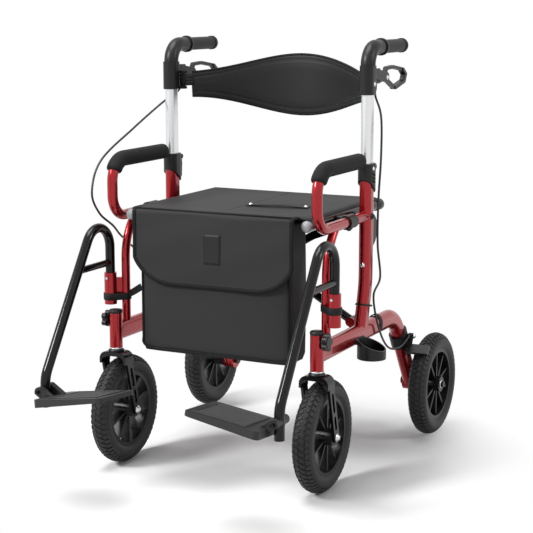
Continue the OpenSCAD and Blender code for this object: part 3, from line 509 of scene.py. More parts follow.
def seat_half(side, s):
    low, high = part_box(side + "_seat")
    width = max(abs(low[0]), abs(high[0]))
    depth = high[1] - low[1]

    def place(u, v):
        x = s * width * u
        edge = min(v, 1 - v) * depth
        drop = SEAT_SAG * (1 - u * u) * min(1, edge / SAG_FADE) + HEM_DROP * max(0, 1 - edge / HEM_ROUND)
        seam = SEAM_SINK * (abs(edge - HEM) < SEAM_HALF)
        roll = ROLL_DROP * max(0, (u - ROLL_START) / (1 - ROLL_START)) ** 2
        return Vector((x, low[1] + v * depth, high[2] - drop - seam - roll)), Vector((0, 0, 1))

    obj = cloth(side + " seat half", place, 40, 70, SEAT_THICK, coated_cloth)
    on_seat(obj, side, s)
    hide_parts(side + "_seat")
    for end in (HEM, depth - HEM):
        line = [place(n / 20, end / depth)[0] + SEAM_LIFT for n in range(20)]
        on_seat(stitches(side + " seat seam", line), side, s)


both_sides(seat_half)
print("seat halves made")

# %% [markdown]
# ## Back band
# The band is a padded strap that hangs between the two handle brackets and sags behind them. It is
# tallest in the middle, has piping along both edges and a seam a finger's width inside them. Each half
# turns about its pin. It is built from rings, so that padding and groove are sizes and need no sculpting.

# %% Back band halves
BACK_PIN = Vector((0.233, post_y + 0.018, 0.882))
BACK_SAG = 0.18
BAND_R = (BACK_PIN.x ** 2 + BACK_SAG ** 2) / (2 * BACK_SAG)
BAND_CENTER_Y = BACK_PIN.y + BACK_SAG - BAND_R
BAND_TURN = atan2(BACK_PIN.x, BACK_PIN.y - BAND_CENTER_Y)
BAND_Z = 0.871
BAND_END_H = 0.056
BAND_MID_H = 0.145
BAND_DROP = 0.003
BAND_SWELL_POWER = 1.25
BAND_CROWN = 0.006
BAND_EDGE = 0.004
BAND_ROUND = 0.03
GROOVE_DEEP = 0.0014
GROOVE_HALF = 0.003
SEAM_IN = 0.011
SEAM_FACE = -0.0042
PIPING_R = 0.0034
BAND_STEPS = 60
SLEEVE = [(-0.0145, 0.0062), (-0.0135, 0.0072), (0.0135, 0.0072), (0.0145, 0.0062)]
TAB_SHARE = 0.1
TAB_HALF = 0.014


def band_edges(share):
    """Heights of the band's lower and upper edge at a share of the way from its end to the middle."""
    if share < TAB_SHARE:
        return BACK_PIN.z - TAB_HALF, BACK_PIN.z + TAB_HALF
    swell = (1 - cos(pi * share ** BAND_SWELL_POWER)) / 2
    low = BAND_Z - BAND_END_H / 2 - (BAND_DROP + (BAND_MID_H - BAND_END_H) / 2) * swell
    high = BAND_Z + BAND_END_H / 2 + ((BAND_MID_H - BAND_END_H) / 2 - BAND_DROP) * swell
    return low, high


def band_point(s, share, height, out):
    """A point of the band: share along it, height from 0 to 1 across it, out from its middle surface."""
    turn = BAND_TURN * (1 - share)
    low, high = band_edges(share)
    radius = BAND_R + out
    return Vector((s * radius * sin(turn), BAND_CENTER_Y + radius * cos(turn), low + height * (high - low)))


def on_band(obj, side, s):
    """Hangs a piece of the band on the body of its half."""
    return pressed_by_fold(obj, side + "_back_half")


def band_half(side, s):
    rows = 36
    columns = 44
    rings = []
    shares = [0, TAB_SHARE / 2, TAB_SHARE - 0.001]
    shares += [TAB_SHARE + (1 - TAB_SHARE) * i / columns for i in range(columns)]
    # one more ring just before the middle keeps the shading even where the halves meet
    shares += [0.999, 1]
    for share in shares:
        low, high = band_edges(share)
        ring = []
        for face in (-1, 1):
            for k in range(rows + 1):
                height = k / rows if face < 0 else 1 - k / rows
                edge = min(height, 1 - height) * (high - low)
                full = BAND_EDGE + BAND_CROWN * sqrt(min(1, edge / BAND_ROUND))
                groove = GROOVE_DEEP * max(0, 1 - abs(edge - SEAM_IN) / GROOVE_HALF)
                ring.append(band_point(s, share, height, face * (full / 2 - groove)))
        rings.append(ring)
    obj = solid(side + " back band half", rings, band_cloth)
    on_band(obj, side, s)
    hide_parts(side + "_backrest")
    for height in (0, 1):
        line = [band_point(s, n / BAND_STEPS, height, 0) for n in range(6, BAND_STEPS + 1)]
        on_band(tube(side + " back band piping", line, PIPING_R, tape), side, s)
        inner = []
        for n in range(8, BAND_STEPS - 1):
            share = n / BAND_STEPS
            low, high = band_edges(share)
            inset = SEAM_IN / (high - low)
            inner.append(band_point(s, share, inset if height == 0 else 1 - inset, SEAM_FACE))
        on_band(stitches(side + " back band seam", inner), side, s)
    pin = Vector((s * BACK_PIN.x, BACK_PIN.y, BACK_PIN.z))
    sleeve = lathe(side + " back band sleeve", SLEEVE, pin, (0, 0, 1), tape)
    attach(sleeve, side + "_back_half")


both_sides(band_half)
print("back band radius", round(BAND_R, 4))

# %% [markdown]
# ## Bag
# The bag hangs under the seat's front: a deep box of coated cloth with rounded edges, its panels swelling
# a little and drawn in at the top, with piping along the front edges. It is hollow and open under the
# seat. Rings make it, because they set how far each panel swells.

# %% Bag
bag_low, bag_high = [Vector(corner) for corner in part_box("bag")]
BAG_HALF = 0.193
BAG_CORNER = 0.012
BAG_WALL = 0.003
BAG_TOP = bag_high.z - 0.006
BAG_SWELL = 0.005
bag_mid_y = (bag_low.y + bag_high.y) / 2
bag_half_d = (bag_high.y - bag_low.y) / 2
BAG_LEVELS = 40
BAG_PIPING_R = 0.0032
BOTTOM_IN = 0.02
BOTTOM_EDGE = 0.004
BOTTOM_DRAWN = 0.002
BOTTOM_ROUND = 0.04
WRINKLE = 0.0012


def on_bag(obj, body):
    return pressed_by_fold(obj, body)


def bag_ring(height, inset, count=96):
    """A rounded rectangle at a share of the bag's height, with swelling walls."""
    z = bag_low.z + height * (BAG_TOP - bag_low.z)
    swell = BAG_SWELL * sin(pi * min(1, height * 1.1))
    swell -= BOTTOM_DRAWN * max(0, 1 - height / BOTTOM_ROUND) ** 2
    half_x = BAG_HALF - BAG_SWELL - inset
    half_y = bag_half_d - BAG_SWELL - inset
    ring = []
    for k in range(count):
        turn = tau * (k + 0.5) / count
        # the turn walks along the outline: four straight sides joined by four round corners
        stretch = 1.25 / max(abs(cos(turn)), abs(sin(turn)))
        side_x = max(-1, min(1, stretch * cos(turn)))
        side_y = max(-1, min(1, stretch * sin(turn)))
        round_in = BAG_CORNER * max(0, abs(side_x) + abs(side_y) - 1.8) / 0.2
        bow_x = swell * (1 - side_y ** 2)
        bow_y = swell * (1 - side_x ** 2)
        fold = WRINKLE * sin(9 * side_x + 14 * height) * (1 - abs(side_x)) * height
        reach_x = half_x - round_in * 0.3 + bow_x * abs(side_x)
        reach_y = half_y - round_in * 0.3 + (bow_y + fold) * abs(side_y)
        ring.append(Vector((side_x * reach_x, bag_mid_y + side_y * reach_y, z)))
    return ring


def make_bag():
    outer = [bag_ring(0, BOTTOM_IN)]
    outer += [bag_ring(n / BAG_LEVELS, BOTTOM_EDGE * max(0, 1 - n / 2)) for n in range(BAG_LEVELS + 1)]
    inner = [bag_ring(n / BAG_LEVELS, BAG_WALL) for n in range(BAG_LEVELS, 1, -1)]
    obj = solid("bag of coated cloth", outer + inner, coated_cloth)
    on_bag(obj, "bag_body")
    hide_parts("bag")
    return obj


bag = make_bag()
print("bag", [round(v, 3) for v in bag.dimensions])

# %% [markdown]
# The piping of the bag runs up its front edges and along its bottom. It takes its points from the bag's
# own rings, so that it lies on the cloth.

# %% Bag piping


def front_corner(height, s):
    """The front corner of the bag on one side at a share of its height."""
    return max(bag_ring(height, 0), key=lambda p: s * p.x / BAG_HALF - (p.y - bag_mid_y) / bag_half_d)


def bag_front_edge(s):
    """The front edge of one side of the bag, from the top to the bottom, and half of the bottom edge."""
    line = [front_corner(n / BAG_LEVELS, s) for n in range(34, 0, -2)]
    front_y = bag_mid_y - 0.9 * (bag_half_d - BAG_SWELL) + 0.004
    corner_x = 0.94 * BAG_HALF
    bottom = [p for p in bag_ring(0.02, 0.0005) if p.y < front_y and 0 <= s * p.x < corner_x]
    bottom.sort(key=lambda p: -abs(p.x))
    return curve_through(line + bottom[::2] + [Vector((0, bottom[-1].y, bottom[-1].z))], 4)


for side, s in SIDES.items():
    on_bag(tube(side + " bag piping", bag_front_edge(s), BAG_PIPING_R, tape, 8, up=(0, 1, 0)), "bag_body")
print("bag piping made")

# %% [markdown]
# ## Flap
# The flap starts on the seat's front edge, turns over it and covers the upper half of the bag's front.
# Its lower corners are well rounded, and its rim is bound with tape. It is laid out along the length of
# its cloth, so that the flat piece to cut has the same size.

# %% Flap
flap_low, flap_high = [Vector(corner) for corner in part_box("bag_flap")]
FLAP_HALF = flap_high.x
FLAP_TURN = 0.009
FLAP_THICK = 0.003
FLAP_CORNER_W = 0.1
FLAP_CORNER_H = 0.08
FLAP_BOW = 0.0035
FLAP_WAVE = 0.0006
FLAP_DROP = 0.16
FLAP_RUN = 0.2
RIM_STEPS = 40
BINDING_IN = 0.0045
BINDING_R = 0.005
BINDING_FLAT = 0.4
TOP_BINDING_R = 0.006
TOP_BINDING_FLAT = 0.35
FLAP_SEAM_IN = 0.0108
flap_start_y = flap_high.y - 0.001
flap_front_y = flap_low.y + 0.0008
flap_top_z = flap_high.z - 0.001
flap_top_run = flap_start_y - flap_front_y - FLAP_TURN


def flap_end(across):
    """Height of the flap's lower edge at a place across it, from -1 to 1."""
    into = max(0, (abs(across) * FLAP_HALF - (FLAP_HALF - FLAP_CORNER_W)) / FLAP_CORNER_W)
    return flap_low.z + 0.001 + FLAP_CORNER_H * (1 - sqrt(max(0, 1 - into * into)))


def flap_length(z):
    """The length of cloth from the flap's start on the seat to a height on its front."""
    return flap_top_run + FLAP_TURN * pi / 2 + flap_top_z - FLAP_TURN - z


def flap_place(across, down):
    """A point of the flap's front and its direction; down runs from 0 at the seat to 1 at the lower edge."""
    walk = down * flap_length(flap_end(across))
    x = across * FLAP_HALF
    if walk < flap_top_run:
        return Vector((x, flap_start_y - walk, flap_top_z)), Vector((0, 0, 1))
    walk -= flap_top_run
    if walk < FLAP_TURN * pi / 2:
        turn = walk / FLAP_TURN
        out = Vector((0, -sin(turn), cos(turn)))
        return Vector((x, flap_front_y + FLAP_TURN, flap_top_z - FLAP_TURN)) + FLAP_TURN * out, out
    walk -= FLAP_TURN * pi / 2
    share = walk / FLAP_DROP
    bow = FLAP_BOW * (1 - across * across) * sin(pi * min(1, share))
    bow += FLAP_WAVE * sin(5 * across + 11 * share)
    return Vector((x, flap_front_y - bow, flap_top_z - FLAP_TURN - walk)), Vector((0, -1, 0))


def flap_rim(inset, lift):
    """A line along the flap's two sides and its lower edge, inside its rim."""
    side_share = 1 - inset / FLAP_HALF
    lowest = 1 - inset / FLAP_RUN
    downs = [n / (RIM_STEPS + 1) for n in range(2, RIM_STEPS + 1)]
    line = [(-side_share, down) for down in downs]
    line += [(side_share * sin(pi / 2 * n / RIM_STEPS), lowest) for n in range(-RIM_STEPS, RIM_STEPS + 1)]
    line += [(side_share, down) for down in reversed(downs)]
    result = []
    for across, down in line:
        place, out = flap_place(across, min(down, lowest))
        result.append(place + lift * out)
    return result


def make_flap():
    def place(u, v):
        return flap_place(sin(pi / 2 * (2 * u - 1)), v)

    obj = cloth("bag flap of coated cloth", place, 64, 60, FLAP_THICK, coated_cloth)
    on_bag(obj, "flap")
    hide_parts("bag_flap")
    flat_length = flap_length(flap_low.z)
    rim = tube("bag flap binding", flap_rim(BINDING_IN, 0.0002), BINDING_R, tape, 10, BINDING_FLAT)
    on_bag(rim, "flap")
    top = [(x * (FLAP_HALF - BINDING_R), flap_front_y + FLAP_TURN, flap_top_z) for x in (-1, 1)]
    on_bag(tube("bag flap top binding", top, TOP_BINDING_R, tape, 10, TOP_BINDING_FLAT), "flap")
    on_bag(stitches("bag flap seam", flap_rim(FLAP_SEAM_IN, 0.0003)), "flap")
    return flat_length


print("flap length", round(make_flap(), 3))

# %% [markdown]
# In the middle of the flap sits a small plain patch. Nothing on it can be read in the photo, so it stays
# bare. It is laid on the flap's own surface, so that it follows its bow.

# %% Patch on the flap
PATCH_X = (-0.017, 0.025)
PATCH_Z = (0.496, 0.563)
PATCH_THICK = 0.0012
PATCH_LIFT = 0.0008


def patch_place(u, v):
    x = PATCH_X[0] + u * (PATCH_X[1] - PATCH_X[0])
    z = PATCH_Z[1] - v * (PATCH_Z[1] - PATCH_Z[0])
    across = x / FLAP_HALF
    point, out = flap_place(across, flap_length(z) / flap_length(flap_end(across)))
    return point + PATCH_LIFT * out, out


on_bag(cloth("bare patch", patch_place, 6, 12, PATCH_THICK, band_cloth), "flap")
print("patch made")

# %% [markdown]
# ## Armrest pads
# A foam sleeve is pushed over the front bend and the top of each armrest. Its ends are rounded by the
# radii of its rings, which needs no bevel afterwards.

# %% Armrest pads
ARM_R = 0.05
ARM_Z = 0.715
ARM_FRONT_Y = post_y - 0.272
PAD_START = radians(28)
PAD_R = 0.018
PAD_ROUND = 0.008
PAD_CURL = 0.006
BEND_STEPS = 24
STRAIGHT_STEPS = 40


def arm_pad(side, s):
    low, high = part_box(side + "_arm_pad")
    line = []
    for n in range(BEND_STEPS + 1):
        turn = PAD_START + (pi / 2 - PAD_START) * n / BEND_STEPS
        y = ARM_FRONT_Y + ARM_R - ARM_R * cos(turn)
        line.append(Vector((s * frame_x, y, ARM_Z - ARM_R + ARM_R * sin(turn))))
    straight = Vector((0, high[1] - line[-1].y, 0))
    line += [line[-1] + straight * n / STRAIGHT_STEPS for n in range(1, STRAIGHT_STEPS + 1)]
    lengths = walked(line)
    radii = []
    for length in lengths:
        end = min(length, lengths[-1] - length)
        curl = max(0, 1 - end / PAD_ROUND)
        radii.append(PAD_R - PAD_CURL * (1 - sqrt(max(0, 1 - curl * curl))))
    obj = tube(side + " armrest foam", line, radii, foam, 28)
    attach(obj, side + "_frame")
    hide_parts(side + "_arm_pad")


both_sides(arm_pad)
print("armrest pads made")

# %% [markdown]
# ## Tyres
# The tyres are moulded with a block tread: two rows of slanted blocks in the middle and one on each
# shoulder. The carcass is a turned profile with two fine lines on its walls, and each row is turned
# copies of one block. A bump map would be lighter, but only real blocks show at the tyre's outline.

# %% Tyres and tread
TYRE_R = 0.127
TYRE_HALF = 0.023
TREAD = 0.0022
TREAD_COUNT = 56
TREAD_ZONE = radians(62)
TREAD_FADE = 0.1
BEAD_TURN = 0.62
RIDGES = (1.45, 1.85)
RIDGE_HALF = 0.06
RIDGE_H = 0.0005
TYRE_SIDES = 96
PROFILE_STEPS = 48
BLOCK_W = 0.0105
# height over the tyre's outside, and share of the block's size there
BLOCK_LEVELS = ((-TREAD - 0.001, 1.1), (-0.0004, 1.0), (-0.0001, 0.9))
# name, tilt, slant, length, and start as a share of one step
TREAD_ROWS = (("middle left", -0.27, 0.5, 0.0078, 0), ("middle right", 0.27, -0.5, 0.0078, 0.5),
              ("left shoulder", -0.86, 0.25, 0.0082, 0.5), ("right shoulder", 0.86, -0.25, 0.0082, 0))


def tyre_profile():
    """Pairs of place along the axle and radius, from one bead over the tread to the other."""
    reach = pi - BEAD_TURN
    pairs = []
    for n in range(PROFILE_STEPS + 1):
        turn = -reach + 2 * reach * n / PROFILE_STEPS
        cut = TREAD * max(0, 1 - max(0, abs(turn) - TREAD_ZONE) / TREAD_FADE)
        ridge = sum(RIDGE_H * (abs(abs(turn) - at) < RIDGE_HALF) for at in RIDGES)
        size = TYRE_HALF - cut + ridge
        pairs.append((size * sin(turn), TYRE_R - TYRE_HALF + size * cos(turn)))
    return pairs


def tread_block(name, tilt, slant, length):
    """One block on top of the tyre, tilted towards a shoulder and slanted in the rolling direction."""
    place = (Matrix.Translation((0, 0, TYRE_R - TYRE_HALF)) @ Matrix.Rotation(tilt, 4, "Y")
             @ Matrix.Translation((0, 0, TYRE_HALF)) @ Matrix.Rotation(slant, 4, "Z"))
    rings = []
    for z, share in BLOCK_LEVELS:
        half_x = BLOCK_W * share / 2
        half_y = length * share / 2
        rings.append([place @ Vector((x * half_x, y * half_y, z)) for x, y in CORNERS])
    return solid(name, rings, tyre_rubber, smooth=False)


def make_tyre(node, body):
    center = middle(node)
    pairs = tyre_profile()
    carcass = lathe(node + " carcass", pairs + pairs[:1], center, (1, 0, 0), tyre_rubber, TYRE_SIDES, False)
    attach(carcass, body)
    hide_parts(node)
    step = tau / TREAD_COUNT
    for name, tilt, slant, length, start in TREAD_ROWS:
        block = tread_block(node + " tread " + name, tilt, slant, length)
        grown(block, SPIN, Count=TREAD_COUNT, Start=start * step, Center=tuple(center), Material=tyre_rubber)
        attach(block, body)


for side in SIDES:
    for end in ("front", "rear"):
        make_tyre(side + "_" + end + "_tyre", side + "_" + end + "_wheel")
print("tyres made")

# %% [markdown]
# ## Footplates
# The top of each plastic footplate is a shallow tray: a raised rim around a field of fine ribs that keep
# a shoe from slipping. The ribs are copies in a row along the plate, made in the plate's own tilted
# frame. At this flat angle of view a bump map would hardly show.

# %% Footplate rim and ribs
PLATE_LENGTH = 0.172
PLATE_DEPTH = 0.14
PLATE_ROLL = radians(8)
PLATE_PITCH = radians(-6)
PLATE_PLACE = Vector((0.27, post_y - 0.51245, 0.222))
RIM_W = 0.006
RIM_H = 0.002
RIB_COUNT = 22
RIB_W = 0.0022
RIB_H = 0.001
FIELD_IN = 0.034
FIELD_EDGE = 0.014


def on_plate(s, x, y, z):
    """A point given from the plate's outer edge inwards, across it and above its top."""
    tilt = Matrix.Rotation(PLATE_ROLL, 4, "Y") @ Matrix.Rotation(PLATE_PITCH, 4, "X")
    point = PLATE_PLACE + tilt @ Vector((-x, y, z))
    return Vector((s * point.x, point.y, point.z))


def plate_bar(name, s, x, y, height):
    """A low bar on the plate with its upper edges taken off."""
    rings = []
    for z, cut in ((-0.001, 0), (height * 0.6, 0), (height, min(0.0008, (y[1] - y[0]) / 4))):
        left, right = x[0] + cut, x[1] - cut
        near, far = y[0] + cut, y[1] - cut
        corners = ((left, near), (right, near), (right, far), (left, far))
        rings.append([on_plate(s, px, py, z) for px, py in corners])
    return solid(name, rings, nylon, smooth=False)


def plate_trim(side, s):
    """A low frame around a field of ribs, in from the plate's edges."""
    body = side + "_plate"
    inner = (FIELD_IN, PLATE_LENGTH - FIELD_EDGE)
    across = PLATE_DEPTH / 2 - FIELD_EDGE
    for x, y in ((inner, (-across, RIM_W - across)), (inner, (across - RIM_W, across)),
                 ((inner[0], inner[0] + RIM_W), (RIM_W - across, across - RIM_W)),
                 ((inner[1] - RIM_W, inner[1]), (RIM_W - across, across - RIM_W))):
        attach(plate_bar(side + " footplate rim", s, x, y, RIM_H), body)
    first = RIM_W - across + 0.001
    step = (2 * across - 2 * RIM_W - 0.004) / (RIB_COUNT - 1)
    field = (inner[0] + RIM_W, inner[1] - RIM_W)
    rib = plate_bar(side + " footplate ribs", s, field, (first, first + RIB_W), RIB_H)
    shift = on_plate(s, 0, step, 0) - on_plate(s, 0, 0, 0)
    grown(rib, ROW, Count=RIB_COUNT, Step=tuple(shift), Material=nylon)
    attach(rib, body)


both_sides(plate_trim)
print("footplate ribs", RIB_COUNT)

# %% [markdown]
# ## Bolts, caps and straps
# A bolt head is a small dome on a washer, turned from a profile. Most bolts are the same on both sides,
# so one table gives them for the right side.

# %% Bolt heads


def bolt_head(name, place, direction, radius, material):
    """A domed head on a washer, facing a direction."""
    profile = [(-0.001, radius * 1.35), (0.0008, radius * 1.35), (0.001, radius)]
    profile += [(radius * 0.45, radius * 0.95), (radius * 0.75, radius * 0.7), (radius * 0.9, radius * 0.35)]
    profile.append((radius * 0.92, 0.0001))
    return lathe(name, profile, place, direction, material, 20)


def bolt(name, place, direction, radius, body, material=zinc):
    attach(bolt_head(name, place, direction, radius, material), body)


OUT = (1, 0, 0)
# name, place from the post and above the floor, direction, radius, body and finish
BOLTS = (("upright bolt", (0, -0.0198, 0.474), (0, -1, 0), 0.0042, "frame", zinc),
         ("seat rail bolt", (0.0138, 0, 0.585), OUT, 0.006, "frame", moulding),
         ("collar screw", (0.0178, -0.004, 0.695), OUT, 0.0035, "frame", zinc),
         ("saddle bolt", (0, -0.1, 0.5695), (0, 0, -1), 0.006, "frame", moulding),
         ("lever bolt", (0.0101, 0.092, 0.896), OUT, 0.004, "handle", zinc),
         ("sleeve screw", (0.0165, 0, 0.885), OUT, 0.0035, "handle", zinc),
         ("socket bolt", (0.0098, -0.221, 0.43), OUT, 0.0045, "frame", zinc))


def frame_bolts(side, s):
    frame_body = side + "_frame"
    out = (s, 0, 0)
    for name, (x, y, z), direction, radius, body, finish in BOLTS:
        facing = (s * direction[0], direction[1], direction[2])
        bolt(side + " " + name, from_posts(s, frame_x + x, y, z), facing, radius, side + "_" + body, finish)
    bracket_low, bracket_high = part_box(side + "_brake_bracket")
    pin_x = max(abs(bracket_low[0]), abs(bracket_high[0]))
    bolt(side + " brake bolt", from_posts(s, pin_x, 0.2316, 0.2594), out, 0.0045, frame_body)
    clamp = (s * (frame_x + 0.0199), middle(side + "_brake_shoe").y + 0.02, 0.244)
    bolt(side + " brake clamp bolt", clamp, out, 0.004, frame_body)
    for face in (1, -1):
        end = middle(side + "_front_tyre") + Vector((face * 0.0352, 0, 0))
        bolt(side + " front axle nut", end, (face, 0, 0), 0.0068, side + "_front_wheel")
    end = middle(side + "_rear_tyre") + Vector((s * 0.0242, 0, 0))
    bolt(side + " rear axle nut", end, out, 0.0072, side + "_rear_wheel")


both_sides(frame_bolts)
for bar, y, face in (("front_bar", 0.006 - 0.0122, -1), ("rear_bar", 0.03 + 0.0145, 1)):
    bolt(bar + " crossing bolt", (0, post_y + y, 0.463), (0, face, 0), 0.006, "front_bar")
print("bolts made")

# %% [markdown]
# The seat tubes have grey caps in front and black ones behind. They are profiles turned about the tube's
# own axis, so that they fit it without being cut.

# %% Caps of the seat tubes
SEAT_TUBE_Z = 0.591
CAP_DOME = [(-0.004, 0.0123), (0.001, 0.0128), (0.004, 0.0118),
            (0.0065, 0.009), (0.008, 0.005), (0.0085, 0.0001)]
CAP_SLEEVE = [(-0.03, 0.0124), (-0.029, 0.0138), (0.002, 0.0138), (0.005, 0.012), (0.006, 0.0001)]


def seat_tube_caps(side, s):
    bar = {"right": "rear", "left": "front"}[side]
    low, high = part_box(bar + "_cross_bar")
    x = s * SEAT_TUBE_X
    front = lathe(side + " seat tube front cap", CAP_DOME, (x, low[1], SEAT_TUBE_Z), (0, -1, 0), cap_grey)
    rear = lathe(side + " seat tube rear cap", CAP_SLEEVE, (x, high[1], SEAT_TUBE_Z), (0, 1, 0), moulding)
    for obj in (front, rear):
        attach(obj, bar + "_bar")


both_sides(seat_tube_caps)
print("seat tube caps made")

# %% [markdown]
# Black bands hold the footrest sockets to the legs, and ties hold the brake cables to the frame. A tight
# band lies, in each direction, on the tube that reaches furthest.

# %% Bands and cable ties
# the leg and the footrest socket: x, y from the posts, and radius
BANDED_TUBES = ((frame_x, -0.221, 0.01), (0.284, -0.242, 0.0145))
BAND_W = 0.016
BAND_T = 0.002
BAND_GAP = 0.0003
TIE_W = 0.0045
TIE_T = 0.0012
BAND_HEIGHTS = {"right": 0.412, "left": 0.394}


def band_around(name, walk, axis, width, thickness, shoulder, material):
    """A band along a closed walk of places with their outward directions; its outer edges are taken off."""
    section = ((-0.5, 0), (-0.5, 0.7), (-shoulder, 1), (shoulder, 1), (0.5, 0.7), (0.5, 0))
    rings = [[place + out * thickness * v + axis * width * u for u, v in section] for place, out in walk]
    return solid(name, rings + rings[:1], material, closed=False)


def oval_band(name, center, radii, width, thickness, axis, material):
    """An oval band around a tube, whose axis is square to X; the first radius lies along X."""
    axis = Vector(axis).normalized()
    first = Vector((1, 0, 0))
    second = axis.cross(first)
    places = circle(radii[0] * first, radii[1] * second, 40)
    walk = [(Vector(center) + place, out) for place, out in zip(places, circle(first, second, 40))]
    return band_around(name, walk, axis, width, thickness, 0.4, material)


def belt(name, tubes):
    """A band drawn tight around upright tubes, each given by its center and radius."""
    walk = []
    for out in circle(Vector((1, 0, 0)), Vector((0, 1, 0)), 64):
        center, radius = max(tubes, key=lambda pair: pair[0].dot(out) + pair[1])
        walk.append((center + out * (radius + BAND_GAP), out))
    return band_around(name, walk, Vector((0, 0, 1)), BAND_W, BAND_T, 0.45, webbing)


def bands(side, s):
    """The band around the socket and the leg, the band of the lower rail and the cable tie."""
    frame_body = side + "_frame"
    height = BAND_HEIGHTS[side]
    tubes = [(Vector(from_posts(s, x, y, height)), radius) for x, y, radius in BANDED_TUBES]
    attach(belt(side + " socket band", tubes), frame_body)
    place = from_posts(s, frame_x, 0.062, 0.32)
    rail = oval_band(side + " lower rail band", place, (0.0154, 0.0224), BAND_W, BAND_T, (0, 1, 0), webbing)
    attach(rail, frame_body)
    place = from_posts(s, frame_x + 0.0015, -0.0128, 0.38)
    tie = oval_band(side + " cable tie", place, (0.0182, 0.0212), TIE_W, TIE_T, (0, 0.24, 1), moulding)
    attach(tie, frame_body)


STRAP_OUTLINE = ((-1, -0.5), (-0.96, -1), (0.96, -1), (1, -0.5), (1, 0.5), (0.96, 1), (-0.96, 1), (-1, 0.5))


def strap(name, points, width, thickness, across):
    """A flat band of webbing along a line; across is the direction of its width."""
    points = [Vector(p) for p in points]
    across = Vector(across).normalized()
    rings = []
    for i, place in enumerate(points):
        ahead = along(points, i)
        side = (across - ahead * across.dot(ahead)).normalized()
        out = ahead.cross(side)
        rings.append([place + u * width / 2 * side + v * thickness / 2 * out for u, v in STRAP_OUTLINE])
    return solid(name, rings, webbing, smooth=False)


both_sides(bands)
tail_points = ((frame_x - 0.012, -0.226, 0.4), (0.222, -0.24, 0.41), (0.198, -0.246, 0.424))
tail_line = curve_through([from_posts(-1, *point) for point in tail_points], 6)
tail = strap("left socket band tail", tail_line, BAND_W, BAND_T, (0, 0, 1))
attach(tail, "left_frame")
print("bands made")

# %% [markdown]
# A short strap of webbing lies on the right half of the seat, riveted at both ends. A smooth line through
# three points gives it its small arch.

# %% Pull strap on the seat
PULL_START = Vector((0.003, post_y - 0.103, 0.6088))
PULL_END = Vector((0.152, post_y - 0.09, 0.6096))
PULL_RISE = Vector((0, 0, 0.003))
PULL_W = 0.024
PULL_T = 0.0018
RIVET_IN = 0.05
RIVET_R = 0.0035
pull = curve_through([PULL_START, PULL_START.lerp(PULL_END, 0.5) + PULL_RISE, PULL_END], 10)
on_seat(strap("seat pull strap", pull, PULL_W, PULL_T, (0, 1, 0)), "right", 1)
for share in (RIVET_IN, 1 - RIVET_IN):
    place = PULL_START.lerp(PULL_END, share) + PULL_RISE * 0.5
    on_seat(bolt_head("pull strap rivet", place, (0, 0, 1), RIVET_R, zinc), "right", 1)
print("pull strap made")

# %% [markdown]
# ## Casters
# Between each fork and its head tube sit a black flanged collar and a plated ring, and a cap closes the
# head tube. All three are turned profiles in one table.

# %% Caster hardware
CROWN_Z = 0.272
HEAD_TOP = 0.362
STEM_Y = -0.268
STEM_COLLAR = [(0, 0.0165), (0.0006, 0.0185), (0.0028, 0.0185), (0.0045, 0.0165), (0.0058, 0.016)]
STEM_RING = [(0, 0.0152), (0.0004, 0.0157), (0.0032, 0.0157), (0.0036, 0.0152)]
HEAD_CAP = [(0, 0.0151), (0.001, 0.0158), (0.006, 0.0158), (0.008, 0.014), (0.009, 0.0001)]
# name, profile, height of its lower end, finish and body
STEM_PIECES = (("stem collar", STEM_COLLAR, CROWN_Z + 0.0002, moulding, "caster"),
               ("stem ring", STEM_RING, CROWN_Z + 0.0061, zinc, "caster"),
               ("head tube cap", HEAD_CAP, HEAD_TOP - 0.0002, moulding, "frame"))


def caster_hardware(side, s):
    for name, profile, height, finish, body in STEM_PIECES:
        start = from_posts(s, frame_x, STEM_Y, height)
        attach(lathe(side + " " + name, profile, start, (0, 0, 1), finish, 32), side + "_" + body)


both_sides(caster_hardware)
print("trim made")

# %% [markdown]
# ## Stage
# A pale floor that runs out to white, a white background for the camera, and three plain soft lamps. What
# the camera sees is kept apart from what lights the chair, so that the background is pure white and the
# chair isn't washed out.

# %% Stage, lamps and camera
FLOOR_FADE = (0.42, 0.68)
FLOOR_REACH = 12
WORLD_FILL = 0.3
LOOK_AT = Vector((0, post_y, 0.447))
AZIMUTH = radians(26.45)
ELEVATION = radians(10.25)
DISTANCE = 3.512


def seen_directly(tree):
    """1 for rays from the camera and for reflections, 0 for light that falls on the object."""
    path = add(tree, "ShaderNodeLightPath")
    straight = math_node(tree, "MAXIMUM", path.outputs["Is Camera Ray"], path.outputs["Is Glossy Ray"])
    return math_node(tree, "MAXIMUM", straight, path.outputs["Is Transmission Ray"])


def mix_shaders(tree, share, first, second, output):
    mix = add(tree, "ShaderNodeMixShader", {"Fac": share, 1: first, 2: second})
    tree.links.new(mix.outputs["Shader"], output)


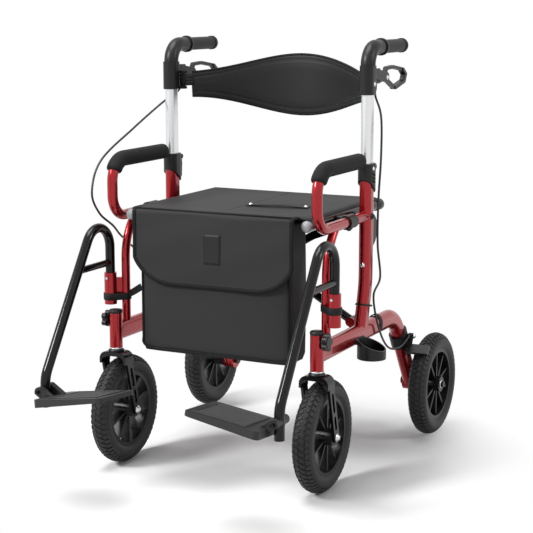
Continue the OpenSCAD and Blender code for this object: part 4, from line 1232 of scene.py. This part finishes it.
def make_floor():
    """A white floor that keeps the shadow near the object and runs out to plain white further away."""
    finish = finish_of("white studio floor", "#F2F2F2", 0.9, shine=0.1)
    tree = finish.node_tree
    place = add(tree, "ShaderNodeTexCoord").outputs["Object"]
    away = add(tree, "ShaderNodeVectorMath", {0: place}, operation="LENGTH").outputs["Value"]
    values = {"Value": away, "From Min": FLOOR_FADE[0], "From Max": FLOOR_FADE[1]}
    fade = add(tree, "ShaderNodeMapRange", values)
    white = add(tree, "ShaderNodeEmission", {"Strength": 1.0})
    share = math_node(tree, "MULTIPLY", fade.outputs["Result"], seen_directly(tree))
    mix_shaders(tree, share, tree.nodes["Principled BSDF"].outputs["BSDF"], white.outputs["Emission"],
                tree.nodes["Material Output"].inputs["Surface"])
    corners = [(x * FLOOR_REACH, y * FLOOR_REACH, 0) for x, y in CORNERS]
    new_object("floor", corners, [(0, 1, 2, 3)], finish)


def make_world():
    world = bpy.data.worlds.new("white studio")
    bpy.context.scene.world = world
    world.use_nodes = True
    tree = world.node_tree
    tree.nodes.clear()
    seen = add(tree, "ShaderNodeBackground", {"Color": (1, 1, 1, 1), "Strength": 1.0})
    fill = add(tree, "ShaderNodeBackground", {"Color": (1, 1, 1, 1), "Strength": WORLD_FILL})
    output = add(tree, "ShaderNodeOutputWorld")
    mix_shaders(tree, seen_directly(tree), fill.outputs["Background"], seen.outputs["Background"],
                output.inputs["Surface"])


def aimed(name, data, place):
    """A lamp or a camera at a place, looking at the middle of the chair."""
    obj = in_scene(name, data)
    obj.location = place
    obj.rotation_euler = (LOOK_AT - Vector(place)).to_track_quat("-Z", "Y").to_euler()
    return obj


def lamp(name, place, size, power):
    data = bpy.data.lights.new(name, "AREA")
    data.size = size
    data.energy = power
    aimed(name, data, place)


make_floor()
make_world()
lamp("key", (-2.2, -3.2, 3.0), 1.1, 175)
lamp("rim", (3.4, 0.4, 2.4), 1.0, 30)
lamp("top", (-0.5, -0.5, 3.6), 2.0, 95)

camera = bpy.data.cameras.new("camera")
camera.lens = 99.67
camera.sensor_width = 36
back = Vector((sin(AZIMUTH) * cos(ELEVATION), -cos(AZIMUTH) * cos(ELEVATION), sin(ELEVATION)))
eye = aimed("camera", camera, LOOK_AT + back * DISTANCE)
bpy.context.scene.camera = eye
bpy.context.scene.view_settings.view_transform = "Standard"
print("camera at", [round(v, 3) for v in eye.location])
